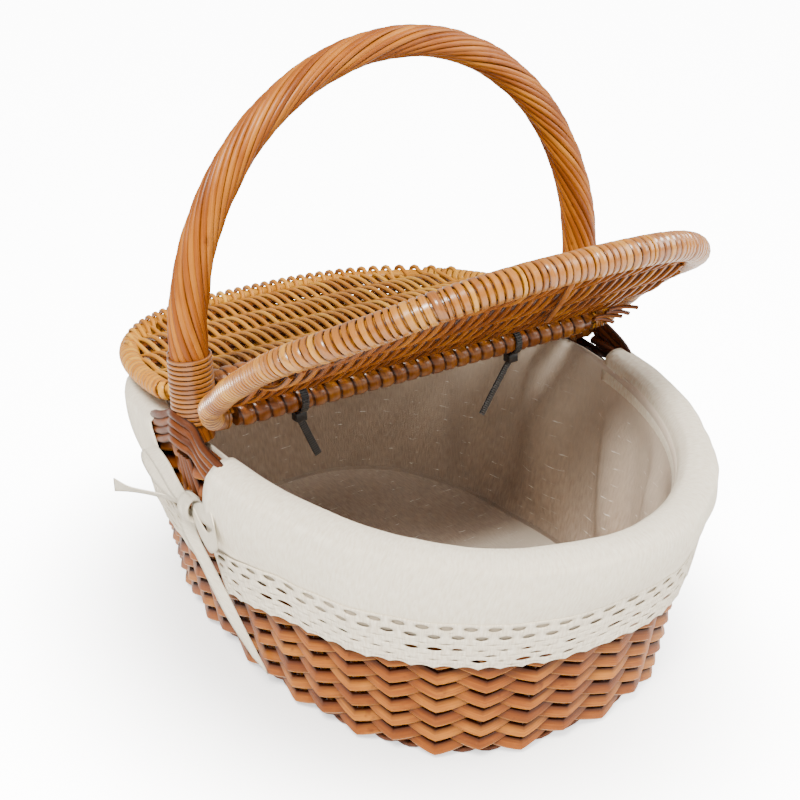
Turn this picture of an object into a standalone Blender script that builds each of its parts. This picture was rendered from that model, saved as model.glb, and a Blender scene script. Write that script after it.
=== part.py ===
"""Oval willow picnic basket with a roped arch handle, two hinged lids and a cotton lining.

Metres, +Z up. The basket stands on z = 0, the handle spans X and the long axis is Y.
The back lid (+Y) is closed and the front lid (-Y) is held half open.
"""

import math

import bmesh
import bpy
from mathutils import Matrix, Vector

# ---- driving dimensions ----
BASE_HALF_X, BASE_HALF_Y, BASE_POWER = 0.1029, 0.1495, 2.6
TOP_HALF_X, TOP_HALF_Y, TOP_POWER = 0.1255, 0.1765, 2.12
TOP_Z_AT_HANDLE, TOP_Z_AT_ENDS = 0.1305, 0.1120
SIDES = 36

ROWS = 12
ROW_THICK = 0.0040
GAP = 0.0004
STAKES = 40
STAKE_RADIUS = 0.0019

FOOT_HEIGHT = 0.0057
FOOT_WIDTH = 0.0060
BASE_LOW, BASE_HIGH = 0.0065, 0.0105
BASE_STICK_RADIUS = 0.0026
BASE_STICKS_LONG = (-0.045, 0.0, 0.045)
BASE_STICKS_CROSS = (-0.070, 0.0, 0.070)

BORDER_RADIUS = 0.0030
BORDER_CLEAR_Y = 0.0120
LASHING_RADIUS = 0.0020
LASHING_STEP = 0.0044
LASHING_PEAK = (0.1334, 0.1375)
TAIL_THICK, TAIL_WIDTH, TAIL_LENGTH, TAIL_Z = 0.0030, 0.0130, 0.0170, 0.1130

HANDLE_HALF = 0.1200
HANDLE_STRAIGHT_Z = 0.1777
HANDLE_APEX_Z = 0.3077
ROPE_FOOT_RADIUS, ROPE_APEX_RADIUS = 0.0102, 0.0080
CORE_RADIUS, TONGUE_RADIUS = 0.0040, 0.0021
TONGUE_END_Z = 0.050
BINDING_LOW, BINDING_HIGH = 0.1475, 0.1745
BINDING_THICK = 0.0011

HINGE_Y, HINGE_Z = 0.0203, 0.1480
CLOSED_TILT = math.radians(6.5)
FRONT_OPEN = math.radians(41.5)
LID_HALF_X, LID_HALF_Y, LID_POWER = 0.1245, 0.1705, 2.7
HOOP_RADIUS, BAR_RADIUS = 0.0076, 0.0062
BAR_END = 0.1085
CORNER_RADIUS = 0.0120
PANEL_THICK = 0.0040
LID_STAKE_RADIUS = 0.0020
LID_STAKES = 4

CROSSBAR_ROD_RADIUS = 0.0040
CROSSBAR_HALF = 0.1075
CROSSBAR_WRAP = 0.0011

TIE_WIDTH, TIE_THICK = 0.0044, 0.0012
TIE_LOOP_RADIUS = BAR_RADIUS + 0.0006
TIE_FAR_Y = 0.0039
TIE_HEAD = (0.0062, 0.0058, 0.0048)
FRONT_TIE_X, BACK_TIE_X = 0.0630, 0.0480
NOTCH_HALF, NOTCH_DEPTH = 0.0036, 0.0092

LINER_THICK = 0.0010
CUFF_THICK = 0.0016
CUFF_GAP_Y = 0.037
HEM_Z = 0.0790
LACE_LOW = 0.0545
LACE_THICK = 0.0010
RIBBON_WIDTH = 0.0110
RIBBON_THICK = 0.0009

WILLOW = (0.62, 0.33, 0.12)
DARK_WILLOW = (0.45, 0.20, 0.07)
COTTON = (0.80, 0.75, 0.66)
BLACK = (0.02, 0.02, 0.02)


# ---- scene, materials and small makers ----
for old in list(bpy.data.objects):
    bpy.data.objects.remove(old, do_unlink=True)

basket = bpy.data.collections.new("picnic_basket")
cutters = bpy.data.collections.new("cutters")
bpy.context.scene.collection.children.link(basket)
bpy.context.scene.collection.children.link(cutters)


def finish(name, obj, colour, roughness=0.6, parent=None):
    """Name the piece, give it its material and put it in the basket's collection."""
    obj.name = name
    for holder in list(obj.users_collection):
        holder.objects.unlink(obj)
    basket.objects.link(obj)
    material = bpy.data.materials.new(name)
    material.use_nodes = True
    shader = material.node_tree.nodes["Principled BSDF"]
    shader.inputs["Base Color"].default_value = (*colour, 1.0)
    shader.inputs["Roughness"].default_value = roughness
    shader.inputs["Metallic"].default_value = 0.0
    obj.data.materials.clear()
    obj.data.materials.append(material)
    obj.parent = parent
    return obj


def mesh_object(mesh_builder):
    mesh = bpy.data.meshes.new("mesh")
    mesh_builder.to_mesh(mesh)
    mesh_builder.free()
    obj = bpy.data.objects.new("piece", mesh)
    basket.objects.link(obj)
    return obj


def tube(paths, radius, resolution=2, closed=False, shares=None):
    """Round rods along the given paths; shares scales the radius point by point."""
    curve = bpy.data.curves.new("tube", "CURVE")
    curve.dimensions = "3D"
    curve.bevel_depth = radius
    curve.bevel_resolution = resolution
    curve.use_fill_caps = True
    for path in paths:
        spline = curve.splines.new("POLY")
        spline.points.add(len(path) - 1)
        spline.use_cyclic_u = closed
        for i, place in enumerate(path):
            spline.points[i].co = (*place, 1.0)
            if shares:
                spline.points[i].radius = shares[i]
    obj = bpy.data.objects.new("tube", curve)
    basket.objects.link(obj)
    return obj


def as_mesh(obj):
    """The evaluated object as a plain mesh, its caps welded."""
    graph = bpy.context.evaluated_depsgraph_get()
    mesh = bpy.data.meshes.new_from_object(obj.evaluated_get(graph))
    builder = bmesh.new()
    builder.from_mesh(mesh)
    bmesh.ops.remove_doubles(builder, verts=builder.verts, dist=0.00001)
    builder.to_mesh(mesh)
    builder.free()
    solid = bpy.data.objects.new("solid", mesh)
    solid.matrix_world = obj.matrix_world
    basket.objects.link(solid)
    bpy.data.objects.remove(obj, do_unlink=True)
    return solid


def make_cutter(obj):
    for holder in list(obj.users_collection):
        holder.objects.unlink(obj)
    cutters.objects.link(obj)
    obj.hide_render = True
    obj.display_type = "WIRE"
    return obj


def boolean(obj, other, operation):
    step = obj.modifiers.new(operation.lower(), "BOOLEAN")
    step.operation = operation
    step.solver = "EXACT"
    step.object = other


def unite(body, others):
    """Join other closed meshes to a body; they overlap it or one another."""
    for other in others:
        make_cutter(other)
        boolean(body, other, "UNION")


def thicken(obj, thickness, offset):
    wall = obj.modifiers.new("wall", "SOLIDIFY")
    wall.thickness = thickness
    wall.offset = offset
    wall.use_even_offset = True


def skin(rows, closed):
    """An open surface through rows of points, made by extruding the first row's edge."""
    builder = bmesh.new()
    ring = [builder.verts.new(place) for place in rows[0]]
    edges = [builder.edges.new(pair) for pair in zip(ring, ring[1:])]
    if closed:
        edges.append(builder.edges.new((ring[-1], ring[0])))
    for row in rows[1:]:
        step = bmesh.ops.extrude_edge_only(builder, edges=edges)["geom"]
        fresh = [g for g in step if isinstance(g, bmesh.types.BMVert)]
        builder.verts.index_update()
        ring = match(ring, edges, fresh)
        for vert, place in zip(ring, row):
            vert.co = place
        edges = [g for g in step if isinstance(g, bmesh.types.BMEdge)]
    bmesh.ops.recalc_face_normals(builder, faces=builder.faces)
    return mesh_object(builder)


def match(ring, edges, fresh):
    """The extruded copy of each vert of a ring, in the ring's order."""
    new = set(fresh)
    copies = []
    for vert in ring:
        other = [e.other_vert(vert) for e in vert.link_edges if e.other_vert(vert) in new]
        copies.append(other[0])
    return copies


def disc(points, low, high):
    """A flat plate with the given outline between two heights."""
    builder = bmesh.new()
    face = builder.faces.new([builder.verts.new((x, y, low)) for x, y in points])
    grown = bmesh.ops.extrude_face_region(builder, geom=[face])["geom"]
    top = [g for g in grown if isinstance(g, bmesh.types.BMVert)]
    bmesh.ops.translate(builder, verts=top, vec=(0, 0, high - low))
    bmesh.ops.recalc_face_normals(builder, faces=builder.faces)
    return mesh_object(builder)


# ---- the basket's wall: one oval for every height ----
def oval(angle, half_x, half_y, power):
    c, s = math.cos(angle), math.sin(angle)
    x = math.copysign(abs(c) ** (2 / power), c) * half_x
    y = math.copysign(abs(s) ** (2 / power), s) * half_y
    return x, y


def top_z(y):
    """Height of the weave's top edge, which dips from the handle to both ends."""
    softened = math.hypot(y, 0.02) / math.hypot(TOP_HALF_Y, 0.02)
    return TOP_Z_AT_HANDLE + (TOP_Z_AT_ENDS - TOP_Z_AT_HANDLE) * softened


def wall(angle, share, outward=0.0, lift=0.0):
    """A point of the weave's outer face; share runs from 0 on the ground to 1 at the top edge."""
    half_x = BASE_HALF_X + share * (TOP_HALF_X - BASE_HALF_X) + outward
    half_y = BASE_HALF_Y + share * (TOP_HALF_Y - BASE_HALF_Y) + outward
    x, y = oval(angle, half_x, half_y, BASE_POWER + share * (TOP_POWER - BASE_POWER))
    return Vector((x, y, share * top_z(y) + lift))


def wall_at(angle, z, outward=0.0):
    """The same wall at a height in metres."""
    share = z / top_z(wall(angle, z / TOP_Z_AT_HANDLE).y)
    place = wall(angle, share, outward)
    return Vector((place.x, place.y, z))


def even_angles(count, start=0.0, stop=2 * math.pi, shift=0.0):
    """Angles that divide a stretch of the wall into equal lengths at middle height."""
    fine = 2000
    angles = [start + (stop - start) * i / fine for i in range(fine + 1)]
    points = [wall(a, 0.5).xy for a in angles]
    run = [0.0]
    for a, b in zip(points, points[1:]):
        run.append(run[-1] + (b - a).length)
    chosen = []
    for i in range(count):
        want = run[-1] * (i + shift) / count
        chosen.append(next(a for a, r in zip(angles, run) if r >= want - 1e-9))
    return chosen


def side_angles(count, clear_y):
    """Angles along the +Y side of the wall, from clear_y beside one handle foot to the other."""
    start = next(a / 2000 for a in range(3142) if wall(a / 2000, 1.0).y >= clear_y)
    return even_angles(count, start, math.pi - start) + [math.pi - start]


RING = even_angles(SIDES)


# ---- base ----
foot = [[wall(a, 0.0, 0.0, lift) for a in RING] for lift in (0.0, FOOT_HEIGHT)]
foot_border = finish("foot_border", skin(foot, True), WILLOW)
thicken(foot_border, FOOT_WIDTH, -1.0)

inner_base = [wall(a, 0.05, -ROW_THICK - 0.0006).xy for a in RING]
finish("base_weave", disc(inner_base, BASE_LOW, BASE_HIGH), WILLOW)

stick_z = BASE_LOW - GAP - BASE_STICK_RADIUS
inner_half = [half - FOOT_WIDTH - 0.0015 for half in (BASE_HALF_X, BASE_HALF_Y)]


def base_stick(offset, along, radius):
    """A stick of the base, along X (0) or Y (1), that stops just inside the foot border."""
    share = 1 - abs(offset / inner_half[1 - along]) ** BASE_POWER
    reach = inner_half[along] * share ** (1 / BASE_POWER) - 0.003
    ends = [Vector((offset, offset, stick_z)), Vector((offset, offset, stick_z))]
    ends[0][along], ends[1][along] = -reach, reach
    return as_mesh(tube([ends], radius, 1))


sticks = [base_stick(x, 1, BASE_STICK_RADIUS) for x in BASE_STICKS_LONG]
sticks += [base_stick(y, 0, 0.8 * BASE_STICK_RADIUS) for y in BASE_STICKS_CROSS]
unite(sticks[1], [sticks[4], sticks[0], sticks[2], sticks[3], sticks[5]])
finish("base_cross_sticks", sticks[1], WILLOW)

# ---- side: stakes and woven courses ----
STAKE_OUT = -ROW_THICK - 0.0010
STAKE_HALF = 0.0018
stake_low = BASE_HIGH + 0.0010
stake_angles = even_angles(STAKES, shift=0.5)
corners = []
for a in stake_angles:
    turn = STAKE_HALF / (wall(a + 0.001, 0.1) - wall(a - 0.001, 0.1)).length * 0.002
    corners += [a - turn, a + turn]
band = [[wall_at(a, z, STAKE_OUT) for a in corners] for z in (stake_low, stake_low + 0.003)]
comb = skin(band, True)
thicken(comb, 2 * STAKE_RADIUS, -1.0)
comb = as_mesh(comb)
teeth = bmesh.new()
teeth.from_mesh(comb.data)
teeth.faces.ensure_lookup_table()
tops = [f for f in teeth.faces if f.normal.z > 0.7 and f.calc_perimeter() < 0.018]
reach = [0.12, 0.55, 0.985]
for low, high in zip(reach, reach[1:]):
    tops = bmesh.ops.extrude_discrete_faces(teeth, faces=tops)["faces"]
    for face in tops:
        middle = face.calc_center_median()
        a = min(stake_angles, key=lambda t: (wall(t, low).xy - middle.xy).length)
        rise = wall(a, high, STAKE_OUT - STAKE_RADIUS) - middle
        bmesh.ops.translate(teeth, verts=face.verts, vec=rise)
teeth.to_mesh(comb.data)
teeth.free()
finish("side_stakes", comb, WILLOW)

first_share = (FOOT_HEIGHT + GAP) / TOP_Z_AT_ENDS
course = (1.0 - first_share) / ROWS
for i in range(ROWS):
    low = first_share + i * course
    high = low + course
    inner = [[wall(a, low, -ROW_THICK, GAP / 2) for a in RING]]
    inner.append([wall(a, high, -ROW_THICK, -GAP / 2) for a in RING])
    row = finish(f"weave_row_{i + 1:02d}", skin(inner, True), WILLOW)
    thicken(row, ROW_THICK, 1.0)

# ---- rim ----
BORDER_LIFT = BORDER_RADIUS + 0.0003
border_out = -BORDER_RADIUS - 0.0002
rim_path = [wall(a, 1.0, border_out, BORDER_LIFT) for a in side_angles(26, BORDER_CLEAR_Y)]
finish("rim_border_back", tube([rim_path], BORDER_RADIUS, 1), WILLOW)
front_path = [Vector((-p.x, -p.y, p.z)) for p in rim_path]
finish("rim_border_front", tube([front_path], BORDER_RADIUS, 1), WILLOW)

LASHING_LOW = ((0.0342, 0.1250), (0.0230, 0.1285))
LASHING_HIGH = ((0.0125, 0.1335, 0.1287), (0.0060, 0.1362, 0.1317))
quarter_degrees = [math.radians(i / 4) for i in range(120)]


def lashing(side, lift):
    """A rod that climbs from the rim round the outer side of a handle foot and down again."""
    half = []
    for y, z in LASHING_LOW:
        near = min(quarter_degrees, key=lambda a: abs(wall(a, 1.0).y - y))
        half.append((side * (wall(near, 1.0).x + LASHING_RADIUS + 0.0007), y, z + lift))
    half += [(side * x, y, z + lift) for y, z, x in LASHING_HIGH]
    middle = (side * LASHING_PEAK[0], 0.0, LASHING_PEAK[1] + lift)
    return half + [middle] + [(x, -y, z) for x, y, z in reversed(half)]


for side, word in ((-1, "left"), (1, "right")):
    for level, lift in (("lower", 0.0), ("upper", LASHING_STEP)):
        rod = tube([lashing(side, lift)], LASHING_RADIUS, 1)
        finish(f"rim_lashing_{word}_{level}", rod, DARK_WILLOW)

# ---- handle ----
arch = []
for i in range(41):
    a = math.pi - math.pi * i / 40
    x = HANDLE_HALF * math.cos(a)
    z = HANDLE_STRAIGHT_Z + (HANDLE_APEX_Z - HANDLE_STRAIGHT_Z) * math.sin(a)
    arch.append(Vector((x, 0.0, z)))

ROPE_END_Z = TOP_Z_AT_HANDLE + 0.0010
rope_path = [Vector((-HANDLE_HALF, 0, ROPE_END_Z)), Vector((-HANDLE_HALF, 0, 0.155))]
rope_path += arch
rope_path += [Vector((-p.x, 0, p.z)) for p in reversed(rope_path[:2])]
slim = ROPE_APEX_RADIUS / ROPE_FOOT_RADIUS
rope_share = [1.0 - (1.0 - slim) * max(0.0, (p.z - 0.20) / (HANDLE_APEX_Z - 0.20)) for p in rope_path]

tongue_top = Vector((-(TOP_HALF_X - ROW_THICK - GAP - 0.0005) + TONGUE_RADIUS, 0, TOP_Z_AT_HANDLE))
tongue_inward = -ROW_THICK - 0.0009 - TONGUE_RADIUS
tongue_low = wall_at(math.pi, TONGUE_END_Z, tongue_inward)
tongue = [tongue_low, wall_at(math.pi, 0.120, tongue_inward), tongue_top]
leg = tongue + [Vector((-HANDLE_HALF, 0, 0.150))]
core_path = leg + arch + [Vector((-p.x, 0, p.z)) for p in reversed(leg)]
thin = TONGUE_RADIUS / CORE_RADIUS
core_share = [thin] * 3 + [1.0] * (len(core_path) - 6) + [thin] * 3
finish("handle_core", tube([core_path], CORE_RADIUS, 1, shares=core_share), WILLOW)

rope = as_mesh(tube([rope_path], ROPE_FOOT_RADIUS, 3, shares=rope_share))
bore = as_mesh(tube([core_path], CORE_RADIUS + GAP, 1, shares=core_share))
make_cutter(bore)
boolean(rope, bore, "DIFFERENCE")
finish("handle_rope", rope, WILLOW)

for side, word in ((-1, "left"), (1, "right")):
    bpy.ops.mesh.primitive_cylinder_add(
        vertices=16,
        radius=ROPE_FOOT_RADIUS + GAP,
        depth=BINDING_HIGH - BINDING_LOW,
        end_fill_type="NOTHING",
        location=(side * HANDLE_HALF, 0, (BINDING_HIGH + BINDING_LOW) / 2),
    )
    binding = finish(f"handle_binding_{word}", bpy.context.object, WILLOW)
    thicken(binding, BINDING_THICK, 1.0)

for side, word in ((-1, "left"), (1, "right")):
    outer = wall_at(0.0, TAIL_Z + 0.0020, 0.0022)
    bpy.ops.mesh.primitive_cube_add(size=1.0, location=(side * outer.x, 0, TAIL_Z))
    tail = bpy.context.object
    tail.scale = (TAIL_THICK, TAIL_WIDTH, TAIL_LENGTH)
    tail.rotation_euler = (0, side * math.atan2(TOP_HALF_X - BASE_HALF_X, TOP_Z_AT_HANDLE), 0)
    bpy.ops.object.transform_apply(location=False, rotation=False, scale=True)
    finish(f"handle_tail_{word}", tail, DARK_WILLOW)

# ---- crossbar between the handle feet ----
rod_y = CROSSBAR_ROD_RADIUS + 0.0002
for y, word in ((-rod_y, "front"), (rod_y, "back")):
    rod = tube([[(-CROSSBAR_HALF, y, HINGE_Z), (CROSSBAR_HALF, y, HINGE_Z)]], CROSSBAR_ROD_RADIUS, 2)
    finish(f"crossbar_rod_{word}", rod, WILLOW)


def stadium(half_length, radius, steps=5):
    """A closed outline in (y, z): two half circles joined by straight runs."""
    points = []
    for centre, first in ((half_length, -90), (-half_length, 90)):
        for i in range(steps + 1):
            a = math.radians(first + 180 * i / steps)
            points.append((centre + radius * math.cos(a), radius * math.sin(a)))
    return points


wrap_radius = CROSSBAR_ROD_RADIUS + GAP
wrap_rows = []
for x in (-CROSSBAR_HALF + 0.004, CROSSBAR_HALF - 0.004):
    outline = stadium(rod_y, wrap_radius / math.cos(math.pi / 10))
    wrap_rows.append([(x, y, HINGE_Z + z) for y, z in outline])
crossbar_wrap = finish("crossbar_wrap", skin(wrap_rows, True), WILLOW)
thicken(crossbar_wrap, CROSSBAR_WRAP, 1.0)


# ---- lids ----
def lid_outline(inset, first_y):
    """Points of a lid's oval from its left side over the far end to its right side."""
    half_x, half_y = LID_HALF_X - inset, LID_HALF_Y - inset
    start = math.asin((first_y / half_y) ** (LID_POWER / 2))
    angles = [math.pi - start - (math.pi - 2 * start) * i / 30 for i in range(31)]
    return [oval(a, half_x, half_y, LID_POWER) for a in angles]


def lid_pieces(word, tie_x, side, turn):
    """One lid, built closed and flat beside its hinge line and then turned on that line."""
    hinge = bpy.data.objects.new(f"{word}_hinge", None)
    hinge.location = (0, side * HINGE_Y, HINGE_Z)
    hinge.rotation_euler = (side * turn, 0, 0)
    basket.objects.link(hinge)

    bar = tube([[(-BAR_END, 0, 0), (BAR_END, 0, 0)]], BAR_RADIUS, 3)
    finish(f"{word}_bar", bar, DARK_WILLOW, parent=hinge)

    start_y = HINGE_Y + CORNER_RADIUS
    sweep = lid_outline(0.0, start_y)
    corner_x = sweep[-1][0] - CORNER_RADIUS
    turns = [math.radians(d) for d in (-90, -67, -45, -22)]
    right = [(corner_x + CORNER_RADIUS * math.cos(t), start_y + CORNER_RADIUS * math.sin(t)) for t in turns]
    right = [(BAR_END + GAP, HINGE_Y)] + right
    path = [(-x, y) for x, y in right] + sweep + list(reversed(right))
    hoop = tube([[(x, side * (y - HINGE_Y), 0) for x, y in path]], HOOP_RADIUS, 2)
    finish(f"{word}_hoop", hoop, WILLOW, parent=hinge)

    edge = BAR_RADIUS + GAP
    outline = lid_outline(HOOP_RADIUS + 0.0009, HINGE_Y + CORNER_RADIUS + 0.002)
    trimmed = [(x, y - HINGE_Y) for x, y in outline]
    reach = BAR_END - 0.004
    straight = [(reach, edge)]
    for x in (tie_x, -tie_x):
        notch = [(x + NOTCH_HALF, edge), (x + NOTCH_HALF, NOTCH_DEPTH)]
        straight += notch + [(x - NOTCH_HALF, NOTCH_DEPTH), (x - NOTCH_HALF, edge)]
    straight.append((-reach, edge))
    panel = disc([(x, side * y) for x, y in trimmed + straight], GAP, GAP + PANEL_THICK)
    finish(f"{word}_weave", panel, WILLOW, parent=hinge)

    inner_x, inner_y = LID_HALF_X - HOOP_RADIUS - 0.004, LID_HALF_Y - HOOP_RADIUS - 0.004
    for i in range(LID_STAKES):
        y = 0.022 + 0.104 * i / (LID_STAKES - 1)
        x = inner_x * (1 - ((y + HINGE_Y) / inner_y) ** LID_POWER) ** (1 / LID_POWER)
        z = -LID_STAKE_RADIUS
        stake = tube([[(-x, side * y, z), (x, side * y, z)]], LID_STAKE_RADIUS, 1)
        finish(f"{word}_stake_{i + 1}", stake, DARK_WILLOW, parent=hinge)


lid_pieces("lid_back", BACK_TIE_X, 1, -CLOSED_TILT)
lid_pieces("lid_front", FRONT_TIE_X, -1, FRONT_OPEN - CLOSED_TILT)


# ---- cable ties that hinge the lids on the crossbar ----
def box_between(start, end, width, thick):
    """A straight strip of strap, its width along X."""
    start, end = Vector(start), Vector(end)
    run = end - start
    bpy.ops.mesh.primitive_cube_add(size=1.0)
    strip = bpy.context.object
    strip.data.transform(Matrix.Diagonal((width, thick, run.length, 1.0)))
    turned = run.to_track_quat("Z", "Y").to_matrix().to_4x4()
    strip.data.transform(Matrix.Translation((start + end) / 2) @ turned)
    return strip


def tie(name, x, side, tail_turn, tail_length):
    """A strap round the lid's bar and the crossbar, with its head below and its cut tail."""
    half, middle = (HINGE_Y + TIE_FAR_Y) / 2, (HINGE_Y - TIE_FAR_Y) / 2
    outline = stadium(half, TIE_LOOP_RADIUS / math.cos(math.pi / 12), 6)
    rows = []
    for offset in (-TIE_WIDTH / 2, TIE_WIDTH / 2):
        rows.append([(x + offset, side * (middle + y), HINGE_Z + z) for y, z in outline])
    loop = skin(rows, True)
    thicken(loop, TIE_THICK, 1.0)
    loop = as_mesh(loop)
    head_z = HINGE_Z - TIE_LOOP_RADIUS - TIE_THICK - 0.0018
    head_y = side * HINGE_Y
    bpy.ops.mesh.primitive_cube_add(size=1.0, location=(x, head_y, head_z))
    head = bpy.context.object
    head.scale = TIE_HEAD
    bpy.ops.object.transform_apply(location=False, rotation=False, scale=True)
    top = Vector((x, head_y, head_z - 0.001))
    tail = box_between(top, top + Vector((math.sin(tail_turn), 0, -math.cos(tail_turn))) * tail_length,
                       TIE_WIDTH - 0.0004, TIE_THICK)
    unite(loop, [head, tail])
    finish(name, loop, BLACK, 0.4)


tie("cable_tie_front_left", -FRONT_TIE_X, -1, math.radians(20), 0.024)
tie("cable_tie_front_right", FRONT_TIE_X, -1, math.radians(-34), 0.034)
tie("cable_tie_back_left", -BACK_TIE_X, 1, math.radians(-12), 0.016)
tie("cable_tie_back_right", BACK_TIE_X, 1, math.radians(12), 0.016)

# ---- cotton lining ----
bag_out = -ROW_THICK - 0.0010 - 2 * STAKE_RADIUS - 0.0005
floor_z = BASE_HIGH + GAP
heights = (floor_z, 0.045, 0.080)
bag_rows = [[wall_at(a, z, bag_out) for a in RING] for z in heights]
bag_rows.append([wall(a, 1.0, bag_out) for a in RING])
bag = skin(bag_rows, True)
floor_builder = bmesh.new()
floor_builder.from_mesh(bag.data)
rim_edges = [e for e in floor_builder.edges if e.is_boundary and e.verts[0].co.z < floor_z + 0.001]
bmesh.ops.contextual_create(floor_builder, geom=rim_edges)
bmesh.ops.recalc_face_normals(floor_builder, faces=floor_builder.faces)
floor_builder.to_mesh(bag.data)
floor_builder.free()
finish("liner_bag", bag, COTTON, 0.9)
thicken(bag, LINER_THICK, -1.0)

cuff_angles = side_angles(20, CUFF_GAP_Y)
cuff_top = BORDER_LIFT + BORDER_RADIUS + 0.0005
over = [(-2 * BORDER_RADIUS - 0.0032, cuff_top), (0.0006, cuff_top)]
cuff_rows = [[wall(a, 1.0, outward, lift) for a in cuff_angles] for outward, lift in over]
cuff_rows.append([wall(a, 1.0, 0.0008, -0.003) for a in cuff_angles])
cuff_rows.append([wall_at(a, HEM_Z, 0.0008) for a in cuff_angles])
lace_rows = [[wall_at(a, z, 0.0008) for a in cuff_angles] for z in (HEM_Z - GAP, LACE_LOW)]
for word, turn in (("back", 1), ("front", -1)):
    for name, rows, thick in (("liner_cuff", cuff_rows, CUFF_THICK), ("lace_trim", lace_rows, LACE_THICK)):
        turned = [[Vector((turn * p.x, turn * p.y, p.z)) for p in row] for row in rows]
        piece = skin(turned, False)
        finish(f"{name}_{word}", piece, COTTON, 0.9)
        middle = piece.data.polygons[len(piece.data.polygons) - 10]
        outward = middle.normal.dot(Vector((middle.center.x, middle.center.y, 0))) > 0
        thicken(piece, thick, 1.0 if outward else -1.0)


# ---- ribbon bows that tie the two cuffs beside the handle feet ----
def ribbon(path, widths):
    """A flat strip along a path, its width set off along the second list of vectors."""
    first = [Vector(p) - Vector(w) for p, w in zip(path, widths)]
    second = [Vector(p) + Vector(w) for p, w in zip(path, widths)]
    strip = skin([first, second], False)
    thicken(strip, RIBBON_THICK, 0.0)
    return as_mesh(strip)


def blob(centre, radii, turn):
    bpy.ops.mesh.primitive_uv_sphere_add(segments=10, ring_count=6, radius=1.0)
    body = bpy.context.object
    body.data.transform(Matrix.Diagonal((*radii, 1.0)))
    body.data.transform(Matrix.Rotation(turn, 4, "X"))
    body.data.transform(Matrix.Translation(centre))
    return body


for side, word in ((-1, "left"), (1, "right")):
    half_width = RIBBON_WIDTH / 2
    knot = blob((side * 0.1240, 0, 0.0800), (0.0045, 0.0060, 0.0060), 0)
    loop_front = blob((side * 0.1250, -0.0150, 0.0770), (0.0042, 0.0130, 0.0062), math.radians(20))
    loop_back = blob((side * 0.1252, 0.0110, 0.0885), (0.0042, 0.0130, 0.0055), math.radians(45))
    long_path = [wall_at(0.0, z, 0.0040) for z in (0.0775, 0.055, 0.035, 0.014)]
    drift = (-0.002, -0.008, -0.013, -0.021)
    long_path = [(side * p.x, p.y + y, p.z) for p, y in zip(long_path, drift)]
    long_tail = ribbon(long_path, [(0, half_width * w, 0) for w in (0.5, 0.9, 0.9, 0.9)])
    short_path = [(side * 0.1245, 0.0030, 0.0795), (side * 0.1310, 0.020, 0.0795), (side * 0.1365, 0.034, 0.0800)]
    short_tail = ribbon(short_path, [(0, 0, half_width * w) for w in (0.3, 0.5, 0.6)])
    unite(knot, [loop_front, loop_back, long_tail, short_tail])
    finish(f"ribbon_bow_{word}", knot, COTTON, 0.9)

for obj in basket.objects:
    if obj.type == "MESH" and obj.name.startswith(("handle_rope", "handle_binding", "liner", "ribbon")):
        obj.data.shade_smooth()
        obj.data.set_sharp_from_angle(angle=math.radians(40))
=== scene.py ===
"""Oval willow picnic basket: roped handle, two hinged lids, cotton lining with lace cuffs."""

import math

import bmesh
import bpy
from mathutils import Matrix, Vector, noise


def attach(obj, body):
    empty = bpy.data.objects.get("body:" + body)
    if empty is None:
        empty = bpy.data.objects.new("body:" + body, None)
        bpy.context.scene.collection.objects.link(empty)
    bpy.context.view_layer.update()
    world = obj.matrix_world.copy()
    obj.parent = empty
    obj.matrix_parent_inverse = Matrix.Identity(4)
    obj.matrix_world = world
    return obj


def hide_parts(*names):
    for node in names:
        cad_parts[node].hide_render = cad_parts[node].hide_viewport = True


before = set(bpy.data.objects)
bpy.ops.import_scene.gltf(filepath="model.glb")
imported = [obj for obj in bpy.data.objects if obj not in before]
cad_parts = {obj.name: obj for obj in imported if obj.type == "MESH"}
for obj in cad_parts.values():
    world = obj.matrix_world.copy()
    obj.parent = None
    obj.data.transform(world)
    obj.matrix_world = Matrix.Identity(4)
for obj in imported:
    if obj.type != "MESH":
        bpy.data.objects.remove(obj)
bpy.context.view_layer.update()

# ---- Table, studio light and camera ----
# The basket stands on a plain pale table in a white room. The table glows to the camera,
# less so close round the basket's foot, which deepens the soft shadow there.
# One soft lamp stands high on the left in front, a weaker one on the right.
TABLE_HALF = 6.0
GLOW_STARTS, GLOW_FULL = 0.12, 0.30
GLOW_LEAST, GLOW_MOST = 1.0, 11.0
LAMP_TARGET = Vector((0, 0, 0.12))


def node(tree, kind, feeds=None, **settings):
    """Add a shader node; feeds are its inputs, each a value or another node's output."""
    made = tree.nodes.new(kind)
    for key, value in settings.items():
        setattr(made, key, value)
    for socket, value in (feeds or {}).items():
        if isinstance(value, bpy.types.NodeSocket):
            tree.links.new(value, made.inputs[socket])
        else:
            made.inputs[socket].default_value = value
    return made


def sums(tree, operation, *values, clamp=False):
    made = node(tree, "ShaderNodeMath", dict(enumerate(values)), operation=operation, use_clamp=clamp)
    return made.outputs[0]


room = bpy.data.worlds.new("room")
room.use_nodes = True
room.node_tree.nodes["Background"].inputs["Color"].default_value = (1.0, 1.0, 1.0, 1.0)
room.node_tree.nodes["Background"].inputs["Strength"].default_value = 0.75
bpy.context.scene.world = room

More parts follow.
